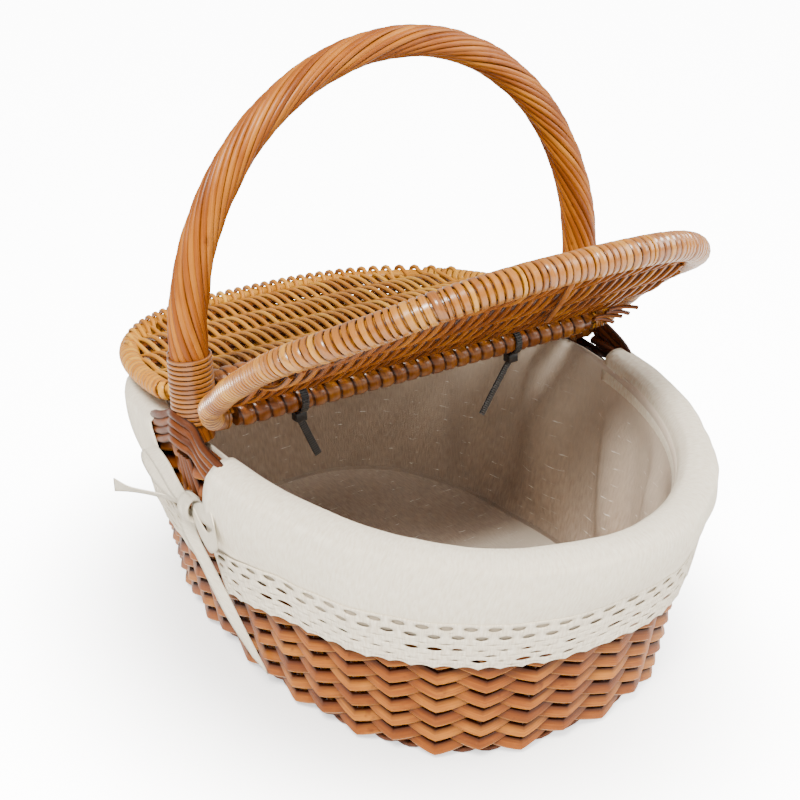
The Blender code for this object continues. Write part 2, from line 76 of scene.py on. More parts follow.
table_mesh = bmesh.new()
bmesh.ops.create_grid(table_mesh, x_segments=8, y_segments=8, size=TABLE_HALF)
table_data = bpy.data.meshes.new("table_top")
table_mesh.to_mesh(table_data)
table_mesh.free()
table_top = bpy.data.objects.new("table_top", table_data)
bpy.context.scene.collection.objects.link(table_top)
table_paint = bpy.data.materials.new("pale_table")
table_paint.use_nodes = True
table_tree = table_paint.node_tree
table_shader = table_tree.nodes["Principled BSDF"]
table_shader.inputs["Base Color"].default_value = (0.93, 0.93, 0.93, 1.0)
table_shader.inputs["Roughness"].default_value = 0.9
table_shader.inputs["Emission Color"].default_value = (1.0, 1.0, 1.0, 1.0)
seen = node(table_tree, "ShaderNodeLightPath").outputs["Is Camera Ray"]
on_table = node(table_tree, "ShaderNodeTexCoord").outputs["Object"]
ringed = node(table_tree, "ShaderNodeMapping", {
    "Vector": on_table, "Location": (0.02, 0.0, 0.0), "Scale": (1.3, 1.0, 1.0)}).outputs[0]
from_foot = node(table_tree, "ShaderNodeVectorMath", {0: ringed}, operation="LENGTH").outputs["Value"]
halo = node(table_tree, "ShaderNodeMapRange", {
    "Value": from_foot, "From Min": GLOW_STARTS, "From Max": GLOW_FULL,
    "To Min": GLOW_LEAST, "To Max": GLOW_MOST}, interpolation_type="SMOOTHSTEP").outputs["Result"]
table_tree.links.new(sums(table_tree, "MULTIPLY", seen, halo), table_shader.inputs["Emission Strength"])
table_data.materials.append(table_paint)


def soft_lamp(name, place, size, watts, tint):
    """A square soft lamp that faces the middle of the basket."""
    lamp = bpy.data.lights.new(name, "AREA")
    lamp.size, lamp.energy, lamp.color = size, watts, tint
    holder = bpy.data.objects.new(name, lamp)
    holder.location = place
    holder.rotation_euler = (LAMP_TARGET - Vector(place)).to_track_quat("-Z", "Y").to_euler()
    bpy.context.scene.collection.objects.link(holder)


soft_lamp("lamp_left", (-1.0, -1.0, 1.8), 0.6, 128.0, (1.0, 0.96, 0.89))
soft_lamp("lamp_right", (1.3, -0.7, 1.0), 1.2, 40.0, (1.0, 0.97, 0.91))

CAMERA_PLACE = (-0.367011, -0.561396, 0.416087)
CAMERA_TURN, CAMERA_DIP, CAMERA_ROLL = -33.084969, 23.797811, -1.037877
camera_data = bpy.data.cameras.new("camera")
camera_data.sensor_width = 36.0
camera_data.lens = 61.8324
camera = bpy.data.objects.new("camera", camera_data)
bpy.context.scene.collection.objects.link(camera)
camera.matrix_world = (
    Matrix.Translation(CAMERA_PLACE)
    @ Matrix.Rotation(math.radians(CAMERA_TURN), 4, "Z")
    @ Matrix.Rotation(math.radians(90 - CAMERA_DIP), 4, "X")
    @ Matrix.Rotation(math.radians(CAMERA_ROLL), 4, "Z")
)
bpy.context.scene.camera = camera

# ---- Base ----
# Willow rods woven across crossed sticks, standing on a foot border of two twisted rods.
# The sticks are the ones of the frame, with a willow skin.
BASE_HALF_X, BASE_HALF_Y, BASE_POWER = 0.1029, 0.1495, 2.6
TOP_HALF_X, TOP_HALF_Y, TOP_POWER = 0.1255, 0.1765, 2.12
TOP_Z_AT_HANDLE, TOP_Z_AT_ENDS = 0.1305, 0.1120
UP = Vector((0, 0, 1))


def oval(angle, half_x, half_y, power):
    c, s = math.cos(angle), math.sin(angle)
    return (math.copysign(abs(c) ** (2 / power), c) * half_x,
            math.copysign(abs(s) ** (2 / power), s) * half_y)


def top_z(y):
    """Height of the weave's top edge, which dips from the handle to both ends."""
    softened = math.hypot(y, 0.02) / math.hypot(TOP_HALF_Y, 0.02)
    return TOP_Z_AT_HANDLE + (TOP_Z_AT_ENDS - TOP_Z_AT_HANDLE) * softened


def wall(angle, share, outward=0.0, lift=0.0):
    """A point of the wall's outer face; share is 0 on the table and 1 at the weave's top."""
    half_x = BASE_HALF_X + share * (TOP_HALF_X - BASE_HALF_X) + outward
    half_y = BASE_HALF_Y + share * (TOP_HALF_Y - BASE_HALF_Y) + outward
    x, y = oval(angle, half_x, half_y, BASE_POWER + share * (TOP_POWER - BASE_POWER))
    return Vector((x, y, share * top_z(y) + lift))


def wall_at(angle, z, outward=0.0):
    share = z / top_z(wall(angle, z / TOP_Z_AT_HANDLE).y)
    place = wall(angle, share, outward)
    return Vector((place.x, place.y, z))


def off_wall(angle, share):
    """The wall's outward direction, and its direction up the slope."""
    along = wall(angle + 0.01, share) - wall(angle - 0.01, share)
    rise = wall(angle, share + 0.02) - wall(angle, share - 0.02)
    return along.cross(rise).normalized(), rise.normalized()


fine_angles = [2 * math.pi * i / 4000 for i in range(4001)]
fine_run = [0.0]
for first, second in zip(fine_angles, fine_angles[1:]):
    fine_run.append(fine_run[-1] + (wall(second, 0.5) - wall(first, 0.5)).length)


def angle_at(share_round):
    """The wall angle at a share of the way round, measured along the wall."""
    turns = math.floor(share_round)
    want = (share_round - turns) * fine_run[-1]
    low, high = 0, 4000
    while high - low > 1:
        middle = (low + high) // 2
        low, high = (middle, high) if fine_run[middle] <= want else (low, middle)
    part = (want - fine_run[low]) / max(1e-9, fine_run[high] - fine_run[low])
    return fine_angles[low] + part * (fine_angles[high] - fine_angles[low]) + 2 * math.pi * turns


def mixed(tree, amount, first, second, blend="MIX"):
    made = node(tree, "ShaderNodeMix", data_type="RGBA", blend_type=blend, clamp_factor=True)
    for socket, value in ((0, amount), (6, first), (7, second)):
        if isinstance(value, bpy.types.NodeSocket):
            tree.links.new(value, made.inputs[socket])
        else:
            made.inputs[socket].default_value = value
    return made.outputs[2]


def above(tree, value, start, gain):
    """A mask that is 0 below start and rises by gain over it."""
    return sums(tree, "MULTIPLY", sums(tree, "SUBTRACT", value, start), gain, clamp=True)


def run_map(tree):
    """The piece's own map: metres along it, and the share round or across it."""
    return node(tree, "ShaderNodeUVMap", uv_map="along").outputs[0]


def parts_of(tree, vector):
    return node(tree, "ShaderNodeSeparateXYZ", {0: vector}).outputs


def shader_group(name, inputs, outputs):
    tree = bpy.data.node_groups.new(name, "ShaderNodeTree")
    for label, kind in inputs:
        tree.interface.new_socket(label, in_out="INPUT", socket_type=kind)
    for label, kind in outputs:
        tree.interface.new_socket(label, in_out="OUTPUT", socket_type=kind)
    return tree, tree.nodes.new("NodeGroupInput").outputs, tree.nodes.new("NodeGroupOutput").inputs


# Willow skin: the UV map holds metres along the rod, and the rod's number plus the share round it.
skin, skin_in, skin_out = shader_group(
    "willow_skin",
    [("Along", "NodeSocketVector"), ("Pale", "NodeSocketColor"), ("Middle", "NodeSocketColor"),
     ("Dark", "NodeSocketColor"), ("Edge", "NodeSocketFloat"), ("Painted_crevice_shade", "NodeSocketFloat"),
     ("Painted_shadow_above", "NodeSocketFloat"), ("Tucked_shade", "NodeSocketFloat"), ("Stain", "NodeSocketFloat")],
    [("Colour", "NodeSocketColor"), ("Roughness", "NodeSocketFloat"), ("Height", "NodeSocketFloat")],
)
split = parts_of(skin, skin_in["Along"])
number = sums(skin, "FLOOR", split[1])
share_round = sums(skin, "SUBTRACT", split[1], number)
tone = node(skin, "ShaderNodeTexWhiteNoise", {"W": number}, noise_dimensions="1D").outputs["Value"]
fibre_place = node(skin, "ShaderNodeCombineXYZ", {
    0: sums(skin, "MULTIPLY", split[0], 55.0),
    1: sums(skin, "MULTIPLY", share_round, 26.0),
    2: sums(skin, "MULTIPLY", number, 5.13)}).outputs[0]
fibre = node(skin, "ShaderNodeTexNoise", {
    "Vector": fibre_place, "Scale": 1.0, "Detail": 5.0, "Roughness": 0.65}).outputs[0]
band_place = node(skin, "ShaderNodeCombineXYZ", {
    0: sums(skin, "MULTIPLY", split[0], 24.0), 1: sums(skin, "MULTIPLY", number, 9.7)}).outputs[0]
band = node(skin, "ShaderNodeTexNoise", {"Vector": band_place, "Scale": 1.0, "Detail": 2.0})
in_place = node(skin, "ShaderNodeTexCoord").outputs["Object"]
patch = node(skin, "ShaderNodeTexNoise", {"Vector": in_place, "Scale": 38.0, "Detail": 3.0})
tint = sums(skin, "MULTIPLY", tone, 0.34)
tint = sums(skin, "MULTIPLY_ADD", fibre, 0.62, tint)
tint = sums(skin, "MULTIPLY_ADD", band.outputs[0], 0.60, tint)
tint = sums(skin, "MULTIPLY_ADD", patch.outputs[0], 0.50, tint)
tint = sums(skin, "SUBTRACT", tint, 0.54)
low_tint = sums(skin, "MULTIPLY", tint, 2.0, clamp=True)
high_tint = sums(skin, "MULTIPLY_ADD", tint, 2.0, -1.0, clamp=True)
colour = mixed(skin, low_tint, skin_in["Dark"], skin_in["Middle"])
colour = mixed(skin, high_tint, colour, skin_in["Pale"])
round_turn = sums(skin, "MULTIPLY", share_round, 2 * math.pi)
# Painted shade: a rod's two sides, where it meets the rods beside it, are darkened towards a darker painted
# shade colour.
face = sums(skin, "ABSOLUTE", sums(skin, "SINE", round_turn))
gap = sums(skin, "MULTIPLY_ADD", face, -1.7, 1.1, clamp=True)
painted_shade_colour = mixed(skin, 1.0, skin_in["Dark"], (0.34, 0.26, 0.22, 1.0), "MULTIPLY")
colour = mixed(skin, sums(skin, "MULTIPLY", gap, skin_in["Painted_crevice_shade"]), colour, painted_shade_colour)
# Painted shadow: the upper half of a split's face is darkened as if in the shadow of the split that overhangs
# it.
under = sums(skin, "MULTIPLY", sums(skin, "COSINE", round_turn), -1.35, clamp=True)
colour = mixed(skin, sums(skin, "MULTIPLY", under, skin_in["Painted_shadow_above"]), colour, painted_shade_colour)
# Painted shade: a split is darkened where it passes behind a stick.
colour = mixed(skin, sums(skin, "MULTIPLY", skin_in["Tucked_shade"], 0.93), colour, painted_shade_colour)
# A pale line along each split's cut edge: paler wood, partly a painted highlight; it is dimmed where the split
# lies behind a stick, which is painted shade.
edge = sums(skin, "MAXIMUM", sums(skin, "COSINE", round_turn), 0.0)
edge = sums(skin, "MULTIPLY", sums(skin, "POWER", edge, 5.0), skin_in["Edge"])
edge = sums(skin, "MULTIPLY", edge, sums(skin, "MULTIPLY_ADD", skin_in["Tucked_shade"], -0.9, 1.0))
colour = mixed(skin, edge, colour, skin_in["Pale"])
knots = node(skin, "ShaderNodeTexNoise", {"Vector": in_place, "Scale": 150.0, "Detail": 2.0}).outputs[0]
knots = above(skin, knots, 0.66, 9.0)
colour = mixed(skin, sums(skin, "MULTIPLY", knots, skin_in["Stain"]), colour, skin_in["Dark"])
skin.links.new(colour, skin_out["Colour"])
skin.links.new(sums(skin, "MULTIPLY_ADD", fibre, 0.28, 0.24), skin_out["Roughness"])
skin.links.new(fibre, skin_out["Height"])


def willow(name, pale, middle, dark, edge=0.0, gap=0.8, under=0.0, shine=0.2, varnish=0.1, relief=0.5):
    """A varnished willow finish in three shades."""
    material = bpy.data.materials.new(name)
    material.use_nodes = True
    tree = material.node_tree
    shader = tree.nodes["Principled BSDF"]
    skin_node = node(tree, "ShaderNodeGroup", node_tree=skin)
    tree.links.new(run_map(tree), skin_node.inputs["Along"])
    for label, shade in (("Pale", pale), ("Middle", middle), ("Dark", dark)):
        skin_node.inputs[label].default_value = (*shade, 1.0)
    for label, amount in (("Edge", edge), ("Painted_crevice_shade", gap), ("Painted_shadow_above", under), ("Stain", 0.6)):
        skin_node.inputs[label].default_value = amount
    # Materials with a painted shadow above also read the painted shade behind the sticks from the mesh.
    if under:
        tucked_shade = node(tree, "ShaderNodeAttribute", attribute_name="tucked_shade").outputs["Fac"]
        tree.links.new(tucked_shade, skin_node.inputs["Tucked_shade"])
    bump = node(tree, "ShaderNodeBump", {
        "Strength": relief, "Distance": 0.0004, "Height": skin_node.outputs["Height"]})
    tree.links.new(skin_node.outputs["Colour"], shader.inputs["Base Color"])
    tree.links.new(skin_node.outputs["Roughness"], shader.inputs["Roughness"])
    tree.links.new(bump.outputs[0], shader.inputs["Normal"])
    shader.inputs["Specular IOR Level"].default_value = shine
    shader.inputs["Coat Weight"].default_value = varnish
    shader.inputs["Coat Roughness"].default_value = 0.22
    return material


def lay(mesh, places, outs, wide, thick, number, around=8, square=1.0, slim=None, ring=False, behind_stick_shade=None):
    """Lay one rod or split along the places; outs point off the surface that it lies on."""
    steps = len(places) - 1
    # The painted shade behind the sticks is stored on each vertex.
    if behind_stick_shade:
        tucked_shade = mesh.verts.layers.float.get("tucked_shade") or mesh.verts.layers.float.new("tucked_shade")
    along = mesh.loops.layers.uv.get("along") or mesh.loops.layers.uv.new("along")
    verts = bmesh.ops.create_grid(mesh, x_segments=steps, y_segments=around, size=1.0)["verts"]
    run = 0.0
    for i, place in enumerate(places):
        before = places[i - 1] if i else (places[-2] if ring else places[0])
        after = places[i + 1] if i < steps else (places[1] if ring else places[-1])
        ahead = (after - before).normalized()
        out = (outs[i] - ahead * outs[i].dot(ahead)).normalized()
        side = ahead.cross(out)
        run += (place - places[i - 1]).length if i else 0.0
        scale = slim[i] if slim else 1.0
        for j in range(around + 1):
            turn = 2 * math.pi * (j % around) / around
            c, s = math.cos(turn), math.sin(turn)
            c, s = math.copysign(abs(c) ** square, c), math.copysign(abs(s) ** square, s)
            vert = verts[j * (steps + 1) + i]
            vert.co = place + side * (c * wide * scale) + out * (s * thick * scale)
            if behind_stick_shade:
                vert[tucked_shade] = behind_stick_shade[i]
            for loop in vert.link_loops:
                loop[along].uv = (run, number + 0.998 * j / around)


def finish(mesh, name, material, body, stands_for=(), crease=50, solid=True):
    """Weld and close the mesh, and put it on its body in place of its plain CAD nodes."""
    if solid:
        bmesh.ops.remove_doubles(mesh, verts=mesh.verts, dist=1e-6)
        open_edges = [e for e in mesh.edges if e.is_boundary]
        bmesh.ops.holes_fill(mesh, edges=open_edges, sides=0)
        bmesh.ops.recalc_face_normals(mesh, faces=mesh.faces)
    data = bpy.data.meshes.new(name)
    mesh.to_mesh(data)
    mesh.free()
    data.materials.append(material)
    data.shade_smooth()
    data.set_sharp_from_angle(angle=math.radians(crease))
    piece = bpy.data.objects.new(name, data)
    bpy.context.scene.collection.objects.link(piece)
    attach(piece, body)
    if stands_for:
        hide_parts(*stands_for)
    return piece


honey_split = willow("honey_split", (0.5016, 0.1872, 0.0138), (0.2112, 0.0522, 0.0023), (0.066, 0.0111, 0.0006),
                     edge=0.9, gap=0.9, under=0.95)
buff_rod = willow("buff_rod", (0.4884, 0.1903, 0.0149), (0.2376, 0.0626, 0.0033), (0.0726, 0.0123, 0.001),
                  gap=0.95)
golden_skein = willow("golden_skein", (0.5808, 0.2885, 0.0231), (0.297, 0.1013, 0.0046), (0.099, 0.0203, 0.001),
                      gap=0.95, shine=0.4, varnish=0.6, relief=0.3)
pale_rod = willow("pale_rod", (0.6468, 0.356, 0.0396), (0.4356, 0.1719, 0.0119), (0.1716, 0.0405, 0.0027),
                  gap=0.75)
bar_skein = willow("bar_skein", (0.4356, 0.1657, 0.0132), (0.198, 0.0522, 0.0029), (0.0528, 0.0092, 0.0006),
                   gap=0.95, varnish=0.5)
brown_skein = willow("brown_skein", (0.2376, 0.0675, 0.0043), (0.1122, 0.0258, 0.0016), (0.033, 0.0061, 0.0006),
                     gap=0.95, varnish=0.12, relief=0.9)

bottom = bmesh.new()
BASE_FLOOR_Z, BASE_ROD, BASE_ROD_STEP, BASE_INSET = 0.0085, 0.0015, 0.0035, 0.006
for k in range(-26, 27):
    x = k * BASE_ROD_STEP
    reach = (1 - abs(x / (BASE_HALF_X - BASE_INSET)) ** BASE_POWER) ** (1 / BASE_POWER)
    reach = (BASE_HALF_Y - BASE_INSET) * reach
    ys = [-reach + 2 * reach * i / 24 for i in range(25)]
    places = [Vector((x, y, BASE_FLOOR_Z + 0.0010 * math.cos(math.pi * (y / 0.070 + k)))) for y in ys]
    lay(bottom, places, [UP] * 25, BASE_ROD, BASE_ROD, k + 40, around=6)
finish(bottom, "woven_bottom", buff_rod, "basket", ["base_weave"])

FOOT_TWISTS, FOOT_ROD, FOOT_SWING = 30, 0.0017, 0.0013
foot = bmesh.new()
for half in (0, 1):
    places, outs = [], []
    for i in range(241):
        a = angle_at(i / 240)
        out = off_wall(a, 0.02)[0]
        turn = 2 * math.pi * FOOT_TWISTS * i / 240 + math.pi * half
        swing = (out * math.cos(turn) + UP * math.sin(turn)) * FOOT_SWING
        places.append(wall(a, 0.0, -0.0036, 0.0031) + swing)
        outs.append(out)
    lay(foot, places, outs, FOOT_ROD, FOOT_ROD, half, around=8, ring=True)
finish(foot, "foot_border_rods", brown_skein, "basket", ["foot_border"])

# ---- Side ----
# Forty upright sticks with two families of split willow woven round them.
# Each split kinks where it passes in front of a stick, and leans in under the one above.
STAKES, COURSES = 40, 12
SPLIT_WIDE, SPLIT_THICK = 0.0033, 0.0013
STICK_OUT, STICK_RADIUS = -0.0026, 0.0017
WEAVE_SWING, KINK_DROP, LEAN = 0.0033, 0.0025, 0.42
FIRST_SHARE = 0.0061 / TOP_Z_AT_ENDS
COURSE = (1.0 - FIRST_SHARE) / COURSES
steps_round = [0.0, 0.09, 0.30, 0.5, 0.70, 0.91]

for row in range(COURSES):
    course = bmesh.new()
    for family in (0, 1):
        centre = FIRST_SHARE + COURSE * (row + 0.26 + 0.5 * family)
        places, outs, behind_stick_shade = [], [], []
        for k in range(STAKES):
            for part in steps_round:
                u = k + part
                swing = abs((u + family) % 2 - 1)
                front = 2 * swing - 1
                front = math.copysign(abs(front) ** 0.9, front)
                jitter = noise.noise(Vector((u * 0.45, row * 3.1 + family * 1.7, 4.2)))
                a = angle_at(((u + 0.5) % STAKES) / STAKES)
                out, rise = off_wall(a, centre)
                place = wall(a, centre)
                place += out * (STICK_OUT + WEAVE_SWING * front + SPLIT_THICK + 0.0003 * jitter)
                place += rise * (-KINK_DROP * front + 0.0013 * jitter)
                places.append(place)
                outs.append(out + rise * LEAN)
                # How deep the split's painted shade is where it passes behind a stick.
                behind_stick_shade.append(min(1.0, max(0.0, (0.35 - front) / 0.9)))
        places.append(places[0].copy())
        outs.append(outs[0])
        behind_stick_shade.append(behind_stick_shade[0])
        lay(course, places, outs, SPLIT_WIDE, SPLIT_THICK, row * 2 + family, around=8, square=0.75, ring=True,
            behind_stick_shade=behind_stick_shade)
    finish(course, f"splits_{row + 1:02d}", honey_split, "basket", [f"weave_row_{row + 1:02d}"], crease=28)

sticks = bmesh.new()
for k in range(STAKES):
    a = angle_at((k + 0.5) / STAKES)
    out = off_wall(a, 0.5)[0]
    places = [wall(a, 0.05 + 0.92 * i / 6) + out * STICK_OUT for i in range(7)]
    lay(sticks, places, [out] * 7, STICK_RADIUS, STICK_RADIUS, k, around=8)
finish(sticks, "upright_sticks", honey_split, "basket", ["side_stakes"])

# ---- Rim ----
# A round rod runs along the top of the weave, with a brown bundle climbing round each handle foot.
BORDER_RADIUS = 0.0023
for word, sign in (("back", 1), ("front", -1)):
    border = bmesh.new()
    low = next(a / 2000 for a in range(3142) if wall(a / 2000, 1.0).y >= 0.0120)
    angles = [low + (math.pi - 2 * low) * i / 70 for i in range(71)]
    places = [wall(a, 1.0, -BORDER_RADIUS - 0.0002, BORDER_RADIUS + 0.0003) for a in angles]
    places = [Vector((sign * p.x, sign * p.y, p.z)) for p in places]
    lay(border, places, [UP] * 71, BORDER_RADIUS, BORDER_RADIUS, 1, around=8)
    finish(border, f"rim_rod_{word}", brown_skein, "basket", [f"rim_border_{word}"])

LASH_LOW = ((0.0460, 0.1190), (0.0342, 0.1245), (0.0230, 0.1285))
LASH_HIGH = ((0.0125, 0.1335, 0.1275), (0.0060, 0.1362, 0.1300), (0.0, 0.1375, 0.1312))


def smooth_path(knots, steps):
    """Points on a soft curve through the knots."""
    knots = [2 * knots[0] - knots[1]] + list(knots) + [2 * knots[-1] - knots[-2]]
    points = []
    for p0, p1, p2, p3 in zip(knots, knots[1:], knots[2:], knots[3:]):
        for i in range(steps):
            t = i / steps
            points.append(0.5 * ((2 * p1) + (p2 - p0) * t + (2 * p0 - 5 * p1 + 4 * p2 - p3) * t * t
                                 + (3 * p1 - p0 - 3 * p2 + p3) * t ** 3))
    return points + [knots[-2]]


for side, word in ((-1, "left"), (1, "right")):
    for level, lifts in (("lower", (-0.0046, 0.0)), ("upper", (0.0042, 0.0084))):
        lash = bmesh.new()
        for n, lift in enumerate(lifts):
            half = []
            for y, z in LASH_LOW:
                near = min((math.radians(i / 4) for i in range(160)), key=lambda a: abs(wall(a, 1.0).y - y))
                stand_off = 0.0026 * min(1.0, (0.052 - y) / 0.02)
                half.append(Vector((side * (wall(near, 1.0).x + stand_off), y, z + lift)))
            half += [Vector((side * (x - 0.10 * max(0, lift)), y, z + lift)) for y, z, x in LASH_HIGH]
            knots = half + [Vector((p.x, -p.y, p.z)) for p in reversed(half[:-1])]
            places = smooth_path(knots, 6)
            outs = [Vector((side, 0.3 * math.copysign(1, p.y) * min(1, abs(p.y) / 0.02), 0.25)) for p in places]
            lay(lash, places, outs, 0.0022, 0.0019, n + 3 * (level == "upper"), around=8)
        finish(lash, f"foot_lashing_{word}_{level}", brown_skein, "basket",
               [f"rim_lashing_{word}_{level}"])

# ---- Handle ----
# Sixteen thin rods twisted round a core rod, bound at each foot with a round skein.
# The rods' ends go down outside the wall under the lashing.
HANDLE_HALF, HANDLE_STRAIGHT_Z, HANDLE_APEX_Z = 0.1200, 0.1777, 0.3077
ROPE_FOOT, ROPE_APEX = 0.0094, 0.0076
STRANDS, STRAND_RADIUS, LAY_PER_METRE = 16, 0.0017, 38.0

arch = [Vector((-HANDLE_HALF, 0, z)) for z in (0.1320, 0.1370, 0.1450, 0.1530, 0.1610, 0.1695)]
for i in range(121):
    a = math.pi - math.pi * i / 120
    arch.append(Vector((HANDLE_HALF * math.cos(a), 0,
                        HANDLE_STRAIGHT_Z + (HANDLE_APEX_Z - HANDLE_STRAIGHT_Z) * math.sin(a))))
arch += [Vector((-p.x, 0, p.z)) for p in reversed(arch[:6])]


def along_path(path, flat, steps):
    """Even stops along a path: place, direction, side in the flat and the flat's own normal."""
    run = [0.0]
    for p, q in zip(path, path[1:]):
        run.append(run[-1] + (q - p).length)
    stops, k = [], 0
    for i in range(steps + 1):
        want = run[-1] * i / steps
        while k < len(path) - 2 and run[k + 1] < want:
            k += 1
        part = (want - run[k]) / max(1e-9, run[k + 1] - run[k])
        before, after = path[max(0, k - 1)], path[min(len(path) - 1, k + 2)]
        ahead = (after - before).normalized()
        stops.append((path[k].lerp(path[k + 1], part), ahead, flat.cross(ahead), flat, want))
    return stops


def rope_radius(z):
    return ROPE_FOOT - (ROPE_FOOT - ROPE_APEX) * max(0.0, (z - 0.20) / (HANDLE_APEX_Z - 0.20))


handle = bmesh.new()
stops = along_path(arch, Vector((0, -1, 0)), 170)
for n in range(STRANDS):
    places, outs, slim = [], [], []
    for place, ahead, side, flat, run in stops:
        sway = 0.10 * noise.noise(Vector((run * 9.0, n * 2.3, 0.5)))
        turn = 2 * math.pi * n / STRANDS + LAY_PER_METRE * run + sway
        out = -side * math.cos(turn) + flat * math.sin(turn)
        radius = rope_radius(place.z)
        swell = 1.0 + 0.05 * noise.noise(Vector((run * 14.0, n * 5.1, 2.5)))
        places.append(place + out * (radius * swell - STRAND_RADIUS * radius / ROPE_FOOT))
        outs.append(out)
        slim.append(radius / ROPE_FOOT * (1.0 + 0.1 * noise.noise(Vector((run * 6.0, n * 1.7, 7.0)))))
    lay(handle, places, outs, STRAND_RADIUS * 1.12, STRAND_RADIUS, n, around=8, slim=slim)
finish(handle, "handle_rods", buff_rod, "basket", ["handle_rope"])


def wind(mesh, path, flat, start, stop, pitch, radius, wide, thick, number, around=6, square=1.0,
         steps=12, turn_from=0.0):
    """Wind a skein round the path from start to stop, in metres along it."""
    total = int((stop - start) / pitch * steps)
    fine = along_path(path, flat, 400)
    length = fine[-1][4]
    places, outs = [], []
    for i in range(total + 1):
        want = start + (stop - start) * i / total
        place, ahead, side, normal, run = fine[min(400, max(0, int(want / length * 400)))]
        place = place + ahead * (want - run)
        turn = 2 * math.pi * i / steps + turn_from
        out = side * math.cos(turn) + normal * math.sin(turn)
        rough = 1.0 + 0.035 * noise.noise(Vector((want * 160.0, number, 1.0)))
        places.append(place + out * (radius + thick) * rough)
        outs.append(out)
    lay(mesh, places, outs, wide, thick, number, around=around, square=square)


FOOT_SKEIN_PITCH, ENDS_TOP_Z, ENDS_OUT = 0.0024, 0.1240, 0.0022
for side, word in ((-1, "left"), (1, "right")):
    binding = bmesh.new()
    leg = [Vector((side * HANDLE_HALF, 0, z)) for z in (0.140, 0.150, 0.160, 0.180)]
    wind(binding, leg, Vector((0, -1, 0)), 0.0020, 0.0355, FOOT_SKEIN_PITCH, ROPE_FOOT - 0.0002,
         0.0011, 0.0009, 1, steps=20)
    finish(binding, f"foot_binding_{word}", golden_skein, "basket", [f"handle_binding_{word}"])

    ends = bmesh.new()
    for n, (y, tilt, drop) in enumerate(((-0.0048, -0.2, 0.1020), (-0.0016, 0.02, 0.1000),
                                         (0.0016, 0.05, 0.1035), (0.0048, 0.2, 0.1010))):
        top = wall_at(0.0, ENDS_TOP_Z, ENDS_OUT)
        low = wall_at(0.0, drop, ENDS_OUT)
        places = [Vector((side * (top.x + (low.x - top.x) * i / 5), y + tilt * 0.02 * i / 5,
                          ENDS_TOP_Z + (drop - ENDS_TOP_Z) * i / 5)) for i in range(6)]
        lay(ends, places, [Vector((side, 0, 0))] * 6, 0.0019, 0.0016, n, around=8)
    finish(ends, f"rod_ends_{word}", brown_skein, "basket", [f"handle_tail_{word}"])

# ---- Crossbar ----
# Two rods side by side between the handle feet, bound together with a flat skein.
CROSSBAR_HALF, HINGE_Y, HINGE_Z = 0.1075, 0.0203, 0.1480
WRAP_PITCH, WRAP_END, WRAP_HALF_Y, WRAP_HALF_Z = 0.0052, 0.004, 0.0088, 0.0049
crossbar = bmesh.new()
turns = int(2 * (CROSSBAR_HALF - WRAP_END) / WRAP_PITCH)
places, outs = [], []
for i in range(turns * 16 + 1):
    turn = 2 * math.pi * i / 16
    x = -CROSSBAR_HALF + WRAP_END + 2 * (CROSSBAR_HALF - WRAP_END) * i / (turns * 16)
    places.append(Vector((x, WRAP_HALF_Y * math.cos(turn), HINGE_Z + WRAP_HALF_Z * math.sin(turn))))
    outs.append(Vector((0, WRAP_HALF_Z * math.cos(turn), WRAP_HALF_Y * math.sin(turn))))
lay(crossbar, places, outs, 0.0025, 0.0005, 0, around=6, square=0.7)
finish(crossbar, "crossbar_binding", golden_skein, "basket", ["crossbar_wrap"])

# ---- Lids ----
# Each lid is a bent hoop and a straight bar, bound with skein, with thin rods woven
# over four sticks between them. The far lid's rods end over the hoop. The near lid's
# rods and hoop ends stand a little higher at the hinge, over its bar.
LID_HALF_X, LID_HALF_Y, LID_POWER = 0.1245, 0.1705, 2.7
BAR_RADIUS, BAR_END, CORNER_RADIUS = 0.0056, 0.1085, 0.0120
LID_ROD, LID_ROD_STEP, LID_STICK = 0.00145, 0.0031, 0.0020
STICK_FIRST, STICK_STEP = 0.0220, 0.104 / 3


def lid_reach(x, inset):
    """How far from the hinge line the lid reaches at x, less an inset."""
    share = abs(x) / (LID_HALF_X - inset)
    if share >= 1:
        return 0.0
    return (LID_HALF_Y - inset) * (1 - share ** LID_POWER) ** (1 / LID_POWER) - HINGE_Y


def eased(value, low, high):
    """0 below low, 1 above high and soft between them."""
    part = min(1.0, max(0.0, (value - low) / (high - low)))
    return part * part * (3 - 2 * part)


def hoop_lift(y):
    """The near hoop's ends rise a little over the bar before they run down to the lid's plane."""
    return (0.0042 * eased(y, 0.002, 0.014) + 0.0014 * eased(y, 0.022, 0.034)) * (1 - eased(y, 0.060, 0.130))


def rods_lift(y):
    """The near lid's rods lie over its bar, so its woven part stands higher close to the hinge."""
    return 0.0048 * (1 - eased(y, 0.008, 0.080))


def hoop_slim(end):
    """The hoop thins toward its two ends; end is the distance from the nearer one."""
    return 0.82 + 0.18 * eased(end, 0.03, 0.12)


